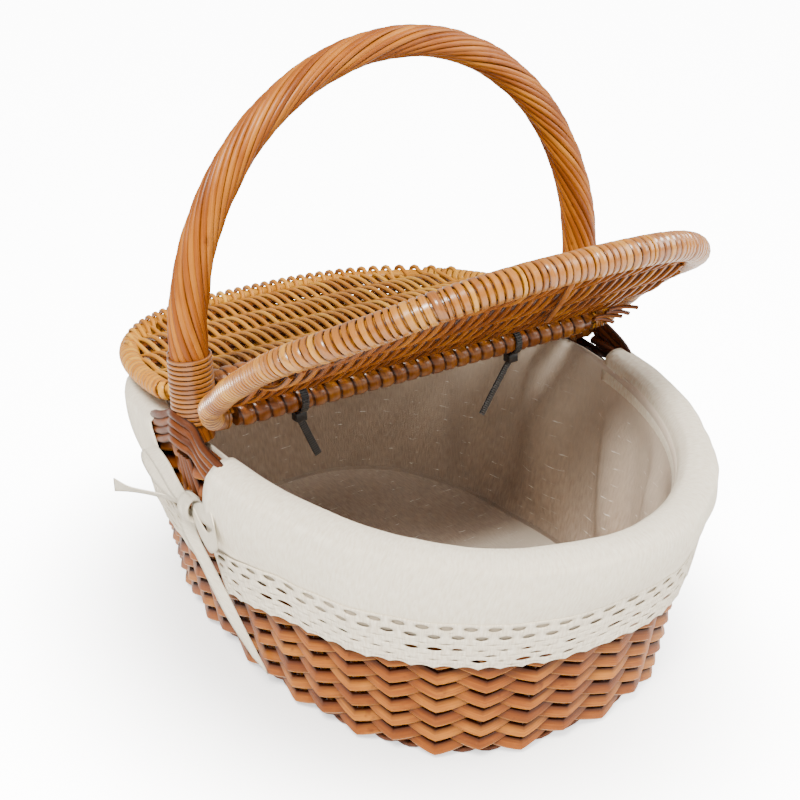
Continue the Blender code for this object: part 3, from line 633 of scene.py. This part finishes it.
for word, side, turn, hoop_radius, shrink in (("back", 1, math.radians(-6.5), 0.0046, 0.0015),
                                              ("front", -1, math.radians(35.0), 0.0057, 0.0)):
    body, raised = f"lid_{word}", float(side < 0)
    on_lid = Matrix.Translation((0, side * HINGE_Y, HINGE_Z)) @ Matrix.Rotation(side * turn, 4, "X")
    lid_up = on_lid.to_3x3() @ UP

    corner_y = HINGE_Y + CORNER_RADIUS
    start = math.asin((corner_y / LID_HALF_Y) ** (LID_POWER / 2))
    sweep = [math.pi - start - (math.pi - 2 * start) * i / 90 for i in range(91)]
    sweep = [oval(a, LID_HALF_X - shrink, LID_HALF_Y - shrink, LID_POWER) for a in sweep]
    corner_x = sweep[-1][0] - CORNER_RADIUS
    bend = [(corner_x + CORNER_RADIUS * math.cos(t), corner_y + CORNER_RADIUS * math.sin(t))
            for t in (math.radians(d) for d in range(-90, 0, 10))]
    outline = [(-x, y) for x, y in bend] + sweep + list(reversed(bend))
    hoop_path = [on_lid @ Vector((x, side * (y - HINGE_Y), raised * hoop_lift(y - HINGE_Y))) for x, y in outline]
    hoop_length = along_path(hoop_path, lid_up, 1)[-1][4]

    hoop = bmesh.new()
    core = along_path(hoop_path, lid_up, 140)
    lay(hoop, [s[0] for s in core], [lid_up] * 141, hoop_radius * 0.9, hoop_radius * 0.9, 90, around=12,
        slim=[hoop_slim(min(s[4], hoop_length - s[4])) for s in core])
    reach, number = 0.0, 1
    while reach < hoop_length - 0.001:
        end = min(reach, hoop_length - reach)
        narrow = end < 0.070
        if word == "back":
            pitch = 0.0046
        elif narrow:
            pitch = 0.0021
        else:
            pitch = 0.0036 + 0.0022 * noise.noise(Vector((number * 3.7, 0.5, 0.0)))
        turns = 4 if narrow and word == "front" else 1
        stop = min(reach + pitch * turns, hoop_length)
        curled = word == "back" and end > 0.115
        if not curled:
            slimmed = hoop_radius * hoop_slim(end)
            wind(hoop, hoop_path, lid_up, reach, stop + pitch * 0.2, pitch, slimmed - 0.0004,
                 pitch * 0.44, 0.0009, number, around=6,
                 square=1.0 if narrow and word == "front" else 0.6, steps=16)
        reach, number = stop, number + 1
    finish(hoop, f"hoop_binding_{word}", golden_skein if side < 0 else pale_rod, body, [f"lid_{word}_hoop"])

    bar = bmesh.new()
    bar_path = [on_lid @ Vector((-BAR_END + 2 * BAR_END * i / 20, 0, 0)) for i in range(21)]
    lay(bar, bar_path, [lid_up] * 21, BAR_RADIUS, BAR_RADIUS, 60, around=12)
    wind(bar, bar_path, lid_up, 0.001, 2 * BAR_END - 0.001, 0.0078, BAR_RADIUS - 0.0006, 0.0036, 0.0010, 3,
         square=0.7, steps=8, turn_from=0.4)
    finish(bar, f"bar_binding_{word}", bar_skein, body, [f"lid_{word}_bar"])

    rods = bmesh.new()
    for k in range(-37, 38):
        x = k * LID_ROD_STEP
        reach = lid_reach(x, hoop_radius + shrink + 0.0010)
        if reach < 0.010:
            continue
        over = 1 if k % 2 else -1
        points = []
        count = max(4, int(reach / 0.0055))
        wander = 0.0006 * noise.noise(Vector((k * 1.3, 0.0, side)))
        for i in range(count + 1):
            y = 0.0035 + (reach - 0.0035) * i / count
            z = over * (LID_STICK + LID_ROD * 0.8) * math.cos(math.pi * (y - STICK_FIRST) / STICK_STEP)
            drift = 0.0009 * noise.noise(Vector((k * 2.1, y * 30.0, 3.0 + side)))
            points.append(Vector((x + wander + drift, side * y, z + raised * rods_lift(y))))
        if abs(x) < 0.112 and word == "back":
            hoop_y = lid_reach(x, shrink)
            for turned in (140, 110, 80, 50, 20, -5):
                a = math.radians(turned)
                points.append(Vector((x, side * (hoop_y + (hoop_radius + 0.0016) * math.cos(a)),
                                      over * (hoop_radius + 0.0016) * math.sin(a))))
        places = [on_lid @ p for p in points]
        lay(rods, places, [lid_up] * len(places), LID_ROD, LID_ROD, k + 50, around=6)
    if word == "front":
        slack = [on_lid @ Vector((0.0369 - 0.0430 * i / 8, -(0.062 + 0.084 * i / 8),
                                  -0.0050 - 0.0008 * math.sin(math.pi * i / 8))) for i in range(9)]
        lay(rods, slack, [lid_up] * 9, 0.0017, 0.0011, 7.0, around=6)
        for n, (x, y, fan) in enumerate(((0.099, 0.034, 0.006), (0.102, 0.027, 0.001),
                                         (0.100, 0.020, 0.004), (0.103, 0.014, -0.002))):
            frayed = [on_lid @ Vector((x + 0.014 * i / 5, -(y + fan * i / 5), -0.0030 - 0.0040 * (i / 5) ** 2))
                      for i in range(6)]
            lay(rods, frayed, [lid_up] * 6, 0.0014, 0.0011, n + 100, around=6)
    finish(rods, f"lid_rods_{word}", pale_rod if word == "back" else buff_rod, body, [f"lid_{word}_weave"])

    for n in range(4):
        y = STICK_FIRST + STICK_STEP * n
        half = LID_HALF_X - hoop_radius - 0.002
        half *= (1 - ((y + HINGE_Y) / (LID_HALF_Y - hoop_radius - 0.002)) ** LID_POWER) ** (1 / LID_POWER)
        stick = bmesh.new()
        lift = raised * rods_lift(y)
        places = [on_lid @ Vector((-half + 2 * half * i / 12, side * y, lift)) for i in range(13)]
        lay(stick, places, [lid_up] * 13, LID_STICK, LID_STICK, n, around=8)
        finish(stick, f"lid_stick_{word}_{n + 1}", brown_skein, body, [f"lid_{word}_stake_{n + 1}"])

# ---- Cable ties ----
# Four black nylon straps hold the lids' bars to the crossbar. Each runs round both,
# through its square head below, and ends in a cut tail.
tie_nylon = bpy.data.materials.new("tie_nylon")
tie_nylon.use_nodes = True
nylon_tree = tie_nylon.node_tree
nylon = nylon_tree.nodes["Principled BSDF"]
TIE_RIB_PITCH = 0.0012
ribs = sums(nylon_tree, "MULTIPLY", parts_of(nylon_tree, run_map(nylon_tree))[0], 2 * math.pi / TIE_RIB_PITCH)
ribs = sums(nylon_tree, "SINE", ribs)
nylon_place = node(nylon_tree, "ShaderNodeTexCoord").outputs["Object"]
scuff = node(nylon_tree, "ShaderNodeTexNoise", {
    "Vector": nylon_place, "Scale": 420.0, "Detail": 3.0}).outputs[0]
black = mixed(nylon_tree, scuff, (0.010, 0.009, 0.009, 1), (0.030, 0.028, 0.027, 1))
nylon_tree.links.new(black, nylon.inputs["Base Color"])
nylon_tree.links.new(sums(nylon_tree, "MULTIPLY_ADD", scuff, 0.25, 0.28), nylon.inputs["Roughness"])
ribbed = node(nylon_tree, "ShaderNodeBump", {"Strength": 0.5, "Distance": 0.0003, "Height": ribs}).outputs[0]
nylon_tree.links.new(ribbed, nylon.inputs["Normal"])

TIE_LOOP, TIE_FAR_Y = 0.0074, 0.0039
for name, x, side, lean, tail in (("front_left", -0.0735, -1, 22, 0.024),
                                  ("front_right", 0.0570, -1, -36, 0.034),
                                  ("back_left", -0.0480, 1, -12, 0.016),
                                  ("back_right", 0.0480, 1, 12, 0.016)):
    tie = bmesh.new()
    loop, outs = [], []
    for centre, first in ((HINGE_Y, -90), (-TIE_FAR_Y, 90)):
        for i in range(9):
            a = math.radians(first + 180 * i / 8)
            out = Vector((0, side * math.cos(a), math.sin(a)))
            loop.append(Vector((x, side * centre, HINGE_Z)) + out * TIE_LOOP)
            outs.append(out)
    lay(tie, loop + [loop[0].copy()], outs + [outs[0]], 0.0021, 0.0006, 0, around=8, square=0.5, ring=True)
    head = bmesh.ops.create_cube(tie, size=1.0)["verts"]
    bmesh.ops.scale(tie, verts=head, vec=(0.0062, 0.0056, 0.0048))
    bmesh.ops.translate(tie, verts=head, vec=(x, side * HINGE_Y, HINGE_Z - TIE_LOOP - 0.0024))
    head_edges = list(dict.fromkeys(e for v in head for e in v.link_edges))
    bmesh.ops.bevel(tie, geom=head_edges, offset=0.0007, segments=2, profile=0.5, affect="EDGES", material=-1)
    lean = math.radians(lean)
    top = Vector((x, side * HINGE_Y, HINGE_Z - TIE_LOOP - 0.0030))
    down = Vector((math.sin(lean), 0, -math.cos(lean)))
    places = [top + down * tail * i / 8 + Vector((0, 0.0012 * side * (i / 8) ** 2, 0)) for i in range(9)]
    lay(tie, places, [Vector((0, 1, 0))] * 9, 0.0020, 0.0006, 1, around=8, square=0.5)
    finish(tie, f"strap_{name}", tie_nylon, "basket", [f"cable_tie_{name}"], crease=30)

# ---- Lining bag ----
# A cotton bag hangs inside the wall, its floor sewn in with a raised seam. Its brown is painted shade on the
# cuffs' cream cloth, with the wicker showing through the thin cloth painted in too.
# Rows of small bright specks are painted on it: painted light, where light comes through the weave's gaps.
weave, weave_in, weave_out = shader_group(
    "plain_cotton",
    [("Cloth", "NodeSocketVector"), ("Light", "NodeSocketColor"), ("Shade", "NodeSocketColor")],
    [("Colour", "NodeSocketColor"), ("Roughness", "NodeSocketFloat"), ("Height", "NodeSocketFloat")],
)
THREAD_PITCH = 0.0008
thread = parts_of(weave, weave_in["Cloth"])
wobble = node(weave, "ShaderNodeTexNoise", {
    "Vector": weave_in["Cloth"], "Scale": 320.0, "Detail": 2.0}).outputs[0]
wobble = sums(weave, "MULTIPLY", wobble, 3.0)
warp, weft = [sums(weave, "SINE", sums(weave, "MULTIPLY_ADD", thread[way], 2 * math.pi / THREAD_PITCH, wobble))
              for way in (0, 1)]
grid = sums(weave, "MULTIPLY", warp, weft)
slub_place = node(weave, "ShaderNodeVectorMath", {0: weave_in["Cloth"], 1: (900.0, 160.0, 1.0)},
                  operation="MULTIPLY").outputs[0]
slub = node(weave, "ShaderNodeTexNoise", {"Vector": slub_place, "Scale": 1.0, "Detail": 3.0}).outputs[0]
cloth_tint = sums(weave, "MULTIPLY_ADD", grid, 0.14, sums(weave, "MULTIPLY_ADD", slub, 2.2, -0.55), clamp=True)
weave.links.new(mixed(weave, cloth_tint, weave_in["Shade"], weave_in["Light"]), weave_out["Colour"])
weave.links.new(sums(weave, "MULTIPLY_ADD", slub, 0.15, 0.80), weave_out["Roughness"])
weave.links.new(sums(weave, "ADD", sums(weave, "MULTIPLY", grid, 0.35), slub), weave_out["Height"])


def cotton(name, light, shade):
    """Plain-woven cotton; the UV map holds metres across and down the cloth."""
    material = bpy.data.materials.new(name)
    material.use_nodes = True
    tree = material.node_tree
    shader = tree.nodes["Principled BSDF"]
    made = node(tree, "ShaderNodeGroup", node_tree=weave)
    tree.links.new(run_map(tree), made.inputs["Cloth"])
    made.inputs["Light"].default_value = (*light, 1.0)
    made.inputs["Shade"].default_value = (*shade, 1.0)
    bump = node(tree, "ShaderNodeBump", {"Strength": 0.85, "Distance": 0.0006, "Height": made.outputs["Height"]})
    tree.links.new(made.outputs["Colour"], shader.inputs["Base Color"])
    tree.links.new(made.outputs["Roughness"], shader.inputs["Roughness"])
    tree.links.new(bump.outputs[0], shader.inputs["Normal"])
    shader.inputs["Sheen Weight"].default_value = 0.15
    return material, made.outputs["Colour"]


CREAM_LIGHT, CREAM_SHADE = (1.0, 0.93, 0.76), (0.82, 0.71, 0.53)
cream_cotton = cotton("cream_cotton", CREAM_LIGHT, CREAM_SHADE)[0]
# Painted shade: the bag's cotton is the cream cloth painted darker brown.
shaded_bag_cotton, bag_colour = cotton("shaded_bag_cotton", (0.46, 0.345, 0.250), (0.31, 0.215, 0.145))

# The painted specks of light stand in rows a course apart and columns a stick apart, broken up by a noise.
SPECK_ROW, SPECK_COLUMN = 0.0097, 0.0240
bag_tree = shaded_bag_cotton.node_tree
bag_map = run_map(bag_tree)
across_bag, down_bag = parts_of(bag_tree, bag_map)[:2]
speck_row = sums(bag_tree, "SINE", sums(bag_tree, "MULTIPLY", down_bag, 2 * math.pi / SPECK_ROW))
speck_column = sums(bag_tree, "SINE", sums(bag_tree, "MULTIPLY", across_bag, 2 * math.pi / SPECK_COLUMN))
speck_place = node(bag_tree, "ShaderNodeVectorMath", {0: bag_map, 1: (190.0, 1400.0, 1.0)},
                   operation="MULTIPLY").outputs[0]
speck_noise = node(bag_tree, "ShaderNodeTexNoise", {
    "Vector": speck_place, "Scale": 1.0, "Detail": 1.0}).outputs[0]
light_speck = sums(bag_tree, "MULTIPLY", above(bag_tree, speck_row, 0.90, 9.0),
             above(bag_tree, speck_column, 0.35, 4.0))
light_speck = sums(bag_tree, "MULTIPLY", light_speck, above(bag_tree, speck_noise, 0.57, 10.0))

# Painted light: the bag's cotton is painted paler high on the right and just under the rim.
bag_where = parts_of(bag_tree, node(bag_tree, "ShaderNodeTexCoord").outputs["Object"])
lit_side = sums(bag_tree, "MULTIPLY", sums(bag_tree, "MULTIPLY_ADD", bag_where[0], 10.0, -0.25, clamp=True),
                sums(bag_tree, "MULTIPLY_ADD", bag_where[2], 11.0, -0.35, clamp=True))
near_rim = sums(bag_tree, "MULTIPLY_ADD", down_bag, -55.0, 1.0, clamp=True)
lit_side = sums(bag_tree, "MAXIMUM", lit_side, near_rim)
paler = sums(bag_tree, "MULTIPLY", lit_side, 0.9)
bag_colour = mixed(bag_tree, paler, bag_colour, (0.80, 0.69, 0.55, 1.0))
bag_tree.links.new(mixed(bag_tree, light_speck, bag_colour, (1.0, 0.93, 0.84, 1.0)),
                   bag_tree.nodes["Principled BSDF"].inputs["Base Color"])


def drape(mesh, columns, rows, place, size):
    """Bend a flat grid of cloth into place(across, down); size is its cut in metres."""
    along = mesh.loops.layers.uv.get("along") or mesh.loops.layers.uv.new("along")
    verts = bmesh.ops.create_grid(mesh, x_segments=columns, y_segments=rows, size=1.0)["verts"]
    for j in range(rows + 1):
        for i in range(columns + 1):
            vert = verts[j * (columns + 1) + i]
            vert.co = place(i / columns, j / rows)
            for loop in vert.link_loops:
                loop[along].uv = (size[0] * i / columns, size[1] * j / rows)
    return verts


BAG_OUT, BAG_FLOOR_Z = -0.0105, 0.0118
BAG_DEEP, BAG_ROUND = 0.128, 0.90
FOLD_STARTS, FOLD_SOFTENS = 0.12, 0.2


def bag_place(across, down):
    """The bag's wall; down runs from the rim to the floor, with folds on its right side."""
    a = 2 * math.pi * across
    share = 1.0 - down * (1.0 - BAG_FLOOR_Z / TOP_Z_AT_HANDLE)
    place = wall(a, share)
    z = place.z if down < 1 else BAG_FLOOR_Z
    out = off_wall(a, share)[0]
    right = max(0.0, math.cos(a + 0.25)) ** 3
    free = min(1.0, max(0.0, down - FOLD_STARTS) / FOLD_SOFTENS)
    fold = 0.0075 * right * math.sin(17 * a + 2.0 * down) * math.sin(math.pi * min(1, down * 1.1)) ** 0.5
    fold *= free
    fold += 0.0020 * free * noise.noise(Vector((place.x * 22, place.y * 22, down * 2.0)))
    place += out * (BAG_OUT - max(-0.0005, fold + 0.0012 * min(1.0, down * 6)))
    return Vector((place.x, place.y, max(BAG_FLOOR_Z, z)))


def bag_floor(across, down):
    """The bag's floor, from its sewn edge to its middle."""
    edge = bag_place(across, 1.0)
    rumple = 0.0016 * noise.noise(edge * 14 * (1 - down) + Vector((0, 0, 7))) * min(1, down * 5)
    return Vector((edge.x * (1 - down), edge.y * (1 - down), BAG_FLOOR_Z + abs(rumple)))


def thicken(piece, name, thickness):
    """Give a sheet its real thickness."""
    layer = piece.modifiers.new(name, "SOLIDIFY")
    layer.thickness, layer.offset = thickness, 0.0


bag = bmesh.new()
drape(bag, 180, 22, bag_place, (BAG_ROUND, BAG_DEEP))
floor_verts = drape(bag, 180, 14, bag_floor, (1, 1))
for vert in floor_verts:
    for loop in vert.link_loops:
        loop[bag.loops.layers.uv["along"]].uv = vert.co.xy
seam = [bag_place(i / 120, 1.0) + Vector((0, 0, 0.0004)) for i in range(121)]
lay(bag, seam, [UP] * 121, 0.0014, 0.0012, 0, around=6, ring=True)
bmesh.ops.remove_doubles(bag, verts=bag.verts, dist=1e-5)
bmesh.ops.recalc_face_normals(bag, faces=bag.faces)
lining = finish(bag, "lining_bag", shaded_bag_cotton, "basket", ["liner_bag"], solid=False)
thicken(lining, "cloth", 0.0008)

# ---- Cuffs ----
# The bag's cotton rolls over the rim and hangs outside as a front and a back cuff,
# open beside each handle foot.
CUFF_GAP_TOP, CUFF_GAP_HEM, HEM_Z, HEM_UNDER = 0.0340, 0.0135, 0.0862, 0.0085
CUFF_ROUND, CUFF_DEEP, ROLL_SHARE, LACE_STARTS = 0.43, 0.105, 0.55, 0.0960
cuff_profile = [(-0.0109, -0.0120), (-0.0110, -0.0060), (-0.0106, -0.0010), (-0.0092, 0.0030),
                (-0.0060, 0.0054), (-0.0010, 0.0063), (0.0040, 0.0056), (0.0075, 0.0026)]


def hem_drop(across):
    """How much lower the hem hangs beside the handle feet, in metres."""
    return 0.010 * max(0.0, 1 - min(across, 1 - across) / 0.10) ** 1.5


def cuff_angle(across, part):
    """Where the cloth is round the wall; the gap at the handle foot closes as part goes to the hem."""
    gap = CUFF_GAP_TOP + (CUFF_GAP_HEM - CUFF_GAP_TOP) * min(1.0, part * 1.4) ** 0.8
    first = math.asin((gap / TOP_HALF_Y) ** (TOP_POWER / 2))
    return first + (math.pi - 2 * first) * across


def cuff_out(part, across, down, turned):
    """How far the hanging cloth stands off the wall, with its soft rumples."""
    near_end = min(1.0, min(across, 1 - across) / 0.09)
    soft = noise.noise(Vector((across * 13, 2.0 * down, turned * 3.0)))
    soft += 0.5 * noise.noise(Vector((across * 34, 3.0 * down, turned * 5.0)))
    stand = 0.0075 + 0.0022 * math.sin(math.pi * min(1.0, part * 1.25)) - 0.0024 * part
    stand -= 0.0016 * max(0.0, turned) * (1 - near_end)
    return stand * (0.85 + 0.15 * near_end) + 0.0017 * soft


def cuff_place(turned):
    """A function for one cuff's cloth; turned is 1 for the back and -1 for the front."""

    def place(across, down):
        if down <= ROLL_SHARE:
            a = cuff_angle(across, 0.0)
            base = wall(a, 1.0)
            steps = down / ROLL_SHARE * (len(cuff_profile) - 1)
            k = int(min(len(cuff_profile) - 2, steps))
            outward = cuff_profile[k][0] + (cuff_profile[k + 1][0] - cuff_profile[k][0]) * (steps - k)
            lift = cuff_profile[k][1] + (cuff_profile[k + 1][1] - cuff_profile[k][1]) * (steps - k)
            soft = noise.noise(Vector((across * 11, 0.4, turned * 7.0)))
            if lift > 0:
                lift *= 1.10 + 0.36 * soft
            outward += (cuff_out(0.0, across, down, turned) - 0.0075) * eased(down, 0.1, ROLL_SHARE)
            z = base.z + lift
            spot = wall_at(a, z) if lift < -0.004 else Vector((base.x, base.y, z))
            out = off_wall(a, 1.0)[0]
        else:
            part = (down - ROLL_SHARE) / (1 - ROLL_SHARE)
            a = cuff_angle(across, part)
            top = wall(a, 1.0).z + cuff_profile[-1][1]
            z = top + (HEM_Z - hem_drop(across) - HEM_UNDER - top) * part
            spot = wall_at(a, z)
            out = off_wall(a, max(0.2, z / top_z(spot.y)))[0]
            outward = cuff_out(part, across, down, turned)
        spot += Vector((out.x, out.y, 0)).normalized() * outward
        return Vector((turned * spot.x, turned * spot.y, spot.z))

    return place


cuff_cotton, cuff_colour = cotton("cuff_cotton", CREAM_LIGHT, CREAM_SHADE)
cuff_tree = cuff_cotton.node_tree
# Painted shade: the cuff's cloth behind the lace, seen through its eyelets, is painted darker.
cloth_down = parts_of(cuff_tree, run_map(cuff_tree))[1]
shade_behind_lace = sums(cuff_tree, "MULTIPLY_ADD", cloth_down, 1200.0, -1200.0 * LACE_STARTS, clamp=True)
cuff_tree.links.new(mixed(cuff_tree, shade_behind_lace, cuff_colour, (0.40, 0.33, 0.24, 1.0)),
                    cuff_tree.nodes["Principled BSDF"].inputs["Base Color"])

for word, turned in (("back", 1), ("front", -1)):
    cuff = bmesh.new()
    drape(cuff, 120, 44, cuff_place(turned), (CUFF_ROUND, CUFF_DEEP))
    bmesh.ops.recalc_face_normals(cuff, faces=cuff.faces)
    cuff_cloth = finish(cuff, f"cuff_{word}", cuff_cotton, "basket", [f"liner_cuff_{word}"],
                        solid=False)
    thicken(cuff_cloth, "cloth", 0.0009)

# ---- Lace ----
# A cotton lace band is sewn under each cuff: two rows of oval eyelets, rows of
# small slits and a scalloped edge.
LACE_DEEP, LACE_CELL = 0.0265, 0.0114
LACE_CELLS = round(CUFF_ROUND / LACE_CELL)
HEM_PART = 0.80
lace_rows = [(0.0054, 0.60, 0.62, 0.0), (0.0052, 0.58, 0.58, 0.5), (0.0028, 0.38, 0.24, 0.0),
             (0.0038, 0.62, 0.62, 0.5), (0.0030, 0.42, 0.40, 0.0), (0.0036, 0.58, 0.60, 0.5),
             (0.0032, 0.30, 0.30, 0.0)]


def lace_sheet(mesh):
    """Flat lace made of cells, each a rectangle with an oval hole, x across and y down."""
    top, length = 0.0, LACE_CELLS * LACE_CELL
    for row, (height, hole_wide, hole_high, shift) in enumerate(lace_rows):
        for k in range(-1, LACE_CELLS + 1):
            left = max(0.0, (k + shift) * LACE_CELL)
            right = min(length, (k + shift + 1) * LACE_CELL)
            if right - left < 0.002:
                continue
            centre, wide = Vector(((left + right) / 2, top + height / 2, 0)), right - left
            vary = 1.0 if row < 2 else 0.82 + 1.3 * noise.noise(Vector((k * 1.9, row * 9.3, 0.3)))
            slip = 0.0 if row < 2 else 0.10 * noise.noise(Vector((k * 2.7, row * 4.1, 5.3)))
            outer = bmesh.ops.create_circle(mesh, segments=16, radius=1.0)["verts"]
            inner = bmesh.ops.create_circle(mesh, segments=16, radius=1.0)["verts"]
            for vert in outer:
                reach = max(abs(vert.co.x), abs(vert.co.y))
                vert.co = centre + Vector((vert.co.x / reach * wide / 2, vert.co.y / reach * height / 2, 0))
            for vert in inner:
                vert.co = centre + Vector(((vert.co.x * hole_wide * min(1.3, vary) / 2 + slip) * wide,
                                           vert.co.y * hole_high * min(1.25, vary) * height / 2, 0))
            rings = [e for v in outer + inner for e in v.link_edges]
            bmesh.ops.bridge_loops(mesh, edges=list(dict.fromkeys(rings)))
        top += height
    bmesh.ops.remove_doubles(mesh, verts=mesh.verts, dist=2e-5)
    return top


lace_cotton = cotton("lace_cotton", (1.0, 0.92, 0.75), (0.68, 0.57, 0.41))[0]
lace_flat = bmesh.new()
lace_high = lace_sheet(lace_flat)
lace_uv = lace_flat.loops.layers.uv.new("along")
for face in lace_flat.faces:
    for loop in face.loops:
        loop[lace_uv].uv = loop.vert.co.xy
for word, turned in (("back", 1), ("front", -1)):
    lace = lace_flat.copy()
    for vert in lace.verts:
        across, down = vert.co.x / (LACE_CELLS * LACE_CELL), vert.co.y / lace_high
        across = min(1.0, max(0.0, across))
        a = cuff_angle(across, 1.0)
        scallop = 0.0014 * abs(math.sin(math.pi * vert.co.x / LACE_CELL)) * max(0.0, down - 0.85) / 0.15
        z = HEM_Z - hem_drop(across) + 0.0006 - LACE_DEEP * down + scallop
        outward = cuff_out(HEM_PART, across, 0.91, turned) + 0.0011 - 0.0010 * down
        outward += 0.0008 * noise.noise(Vector((across * 30, down * 1.5, turned * 2.0))) * down
        spot = wall_at(a, z)
        out = off_wall(a, z / top_z(spot.y))[0]
        spot += Vector((out.x, out.y, 0)).normalized() * outward
        vert.co = Vector((turned * spot.x, turned * spot.y, spot.z))
    bmesh.ops.recalc_face_normals(lace, faces=lace.faces)
    band = finish(lace, f"lace_{word}", lace_cotton, "basket", [f"lace_trim_{word}"], solid=False)
    thicken(band, "thread", 0.0008)
lace_flat.free()

# ---- Ribbon bows ----
# The cuffs' corners are tied together outside each handle foot with a cotton ribbon:
# two loops, two tails and a knot that goes round them.
RIBBON_WIDE, RIBBON_LONG = 0.0110, 0.27


def ribbon(mesh, knots, widths, steps=8):
    """A flat ribbon on a soft curve through the knots; widths set off half its width."""
    places, sides = smooth_path(knots, steps), smooth_path(widths, steps)
    columns = len(places) - 1
    drape(mesh, columns, 4, lambda across, down: places[round(across * columns)]
          + sides[round(across * columns)] * (2 * down - 1), (columns * 0.004, RIBBON_WIDE))


for side, word in ((-1, "left"), (1, "right")):
    def at(x, y, z):
        return Vector((side * x, y, z))

    bow = bmesh.new()
    ribbon(bow, [at(0.1275, -0.0015, 0.0985), at(0.1290, 0.0085, 0.1015), at(0.1305, 0.0195, 0.1110),
                 at(0.1325, 0.0290, 0.1175), at(0.1335, 0.0300, 0.1120), at(0.1315, 0.0215, 0.1030),
                 at(0.1285, 0.0080, 0.0980), at(0.1280, 0.0, 0.0970)],
           [at(0.0005, 0.0010, -0.0020), at(0.001, 0.003, -0.004), at(0.0015, 0.0035, -0.0035),
            at(0.002, 0.004, -0.002), at(0.002, 0.004, -0.003), at(0.0015, 0.003, -0.004),
            at(0.001, 0.002, -0.003), at(0.0005, 0.0010, -0.0020)])
    ribbon(bow, [at(0.1275, -0.0070, 0.0975), at(0.1285, -0.0180, 0.1005), at(0.1290, -0.0300, 0.1010),
                 at(0.1305, -0.0365, 0.0960), at(0.1305, -0.0290, 0.0895), at(0.1290, -0.0170, 0.0905),
                 at(0.1280, -0.0070, 0.0960)],
           [at(0, -0.001, 0.003), at(0, 0, 0.005), at(0, 0.001, 0.0055), at(0, 0.0015, 0.005),
            at(0, 0.001, 0.005), at(0, 0, 0.0045), at(0, -0.001, 0.003)])
    ribbon(bow, [at(0.1275, -0.0030, 0.0950), at(0.1262, 0.0035, 0.0800), at(0.1220, -0.0065, 0.0611),
                 at(0.1172, -0.0215, 0.0373), at(0.1128, -0.0385, 0.0179)],
           [at(0.001, 0.0030, 0), at(0.0020, 0.0050, 0.0005), at(0.0020, 0.0056, 0.001),
            at(0.0020, 0.0056, 0.001), at(0.0015, 0.0052, 0.003)])
    ribbon(bow, [at(0.1280, 0.0030, 0.0970), at(0.1300, 0.0200, 0.0930), at(0.1312, 0.0410, 0.0868),
                 at(0.1322, 0.0640, 0.0795), at(0.1330, 0.0850, 0.0735)],
           [at(0, 0, 0.0020), at(0.001, 0, 0.0018), at(0.001, 0, 0.0015), at(0.001, 0, 0.0020),
            at(0, 0, 0.0040)])
    ring, ring_out = [], []
    for i in range(17):
        t = 2 * math.pi * i / 16
        ring.append(at(0.1280 + 0.0040 * math.sin(t), -0.0040, 0.0970 + 0.0062 * math.cos(t)))
        ring_out.append(ring[-1] - at(0.1280, -0.0040, 0.0970))
    lay(bow, ring, ring_out, 0.0050, 0.0012, 0, around=10, square=0.8, ring=True)
    bmesh.ops.recalc_face_normals(bow, faces=bow.faces)
    tied = finish(bow, f"bow_{word}", cream_cotton, "basket", [f"ribbon_bow_{word}"], solid=False)
    thicken(tied, "cloth", 0.0007)

# ---- Rods of the frame that keep their shape ----
# The handle's core, the crossbar's rods and the base's sticks get a plain willow skin,
# read in place because they carry no map of their own.
plain_rod = bpy.data.materials.new("plain_rod")
plain_rod.use_nodes = True
plain_tree = plain_rod.node_tree
plain = plain_tree.nodes["Principled BSDF"]
where = node(plain_tree, "ShaderNodeTexCoord").outputs["Object"]
stretched = node(plain_tree, "ShaderNodeMapping", {"Vector": where, "Scale": (60.0, 900.0, 900.0)}).outputs[0]
streaks = node(plain_tree, "ShaderNodeTexNoise", {"Vector": stretched, "Scale": 1.0, "Detail": 4.0}).outputs[0]
streaked = mixed(plain_tree, streaks, (0.20, 0.066, 0.012, 1), (0.40, 0.170, 0.036, 1))
plain_tree.links.new(streaked, plain.inputs["Base Color"])
plain_tree.links.new(sums(plain_tree, "MULTIPLY_ADD", streaks, 0.3, 0.3), plain.inputs["Roughness"])
relief = node(plain_tree, "ShaderNodeBump", {"Strength": 0.4, "Distance": 0.0003, "Height": streaks}).outputs[0]
plain_tree.links.new(relief, plain.inputs["Normal"])
for name in ("handle_core", "crossbar_rod_front", "crossbar_rod_back", "base_cross_sticks"):
    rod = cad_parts[name]
    for slot in rod.material_slots:
        slot.material = plain_rod
    if not rod.material_slots:
        rod.data.materials.append(plain_rod)
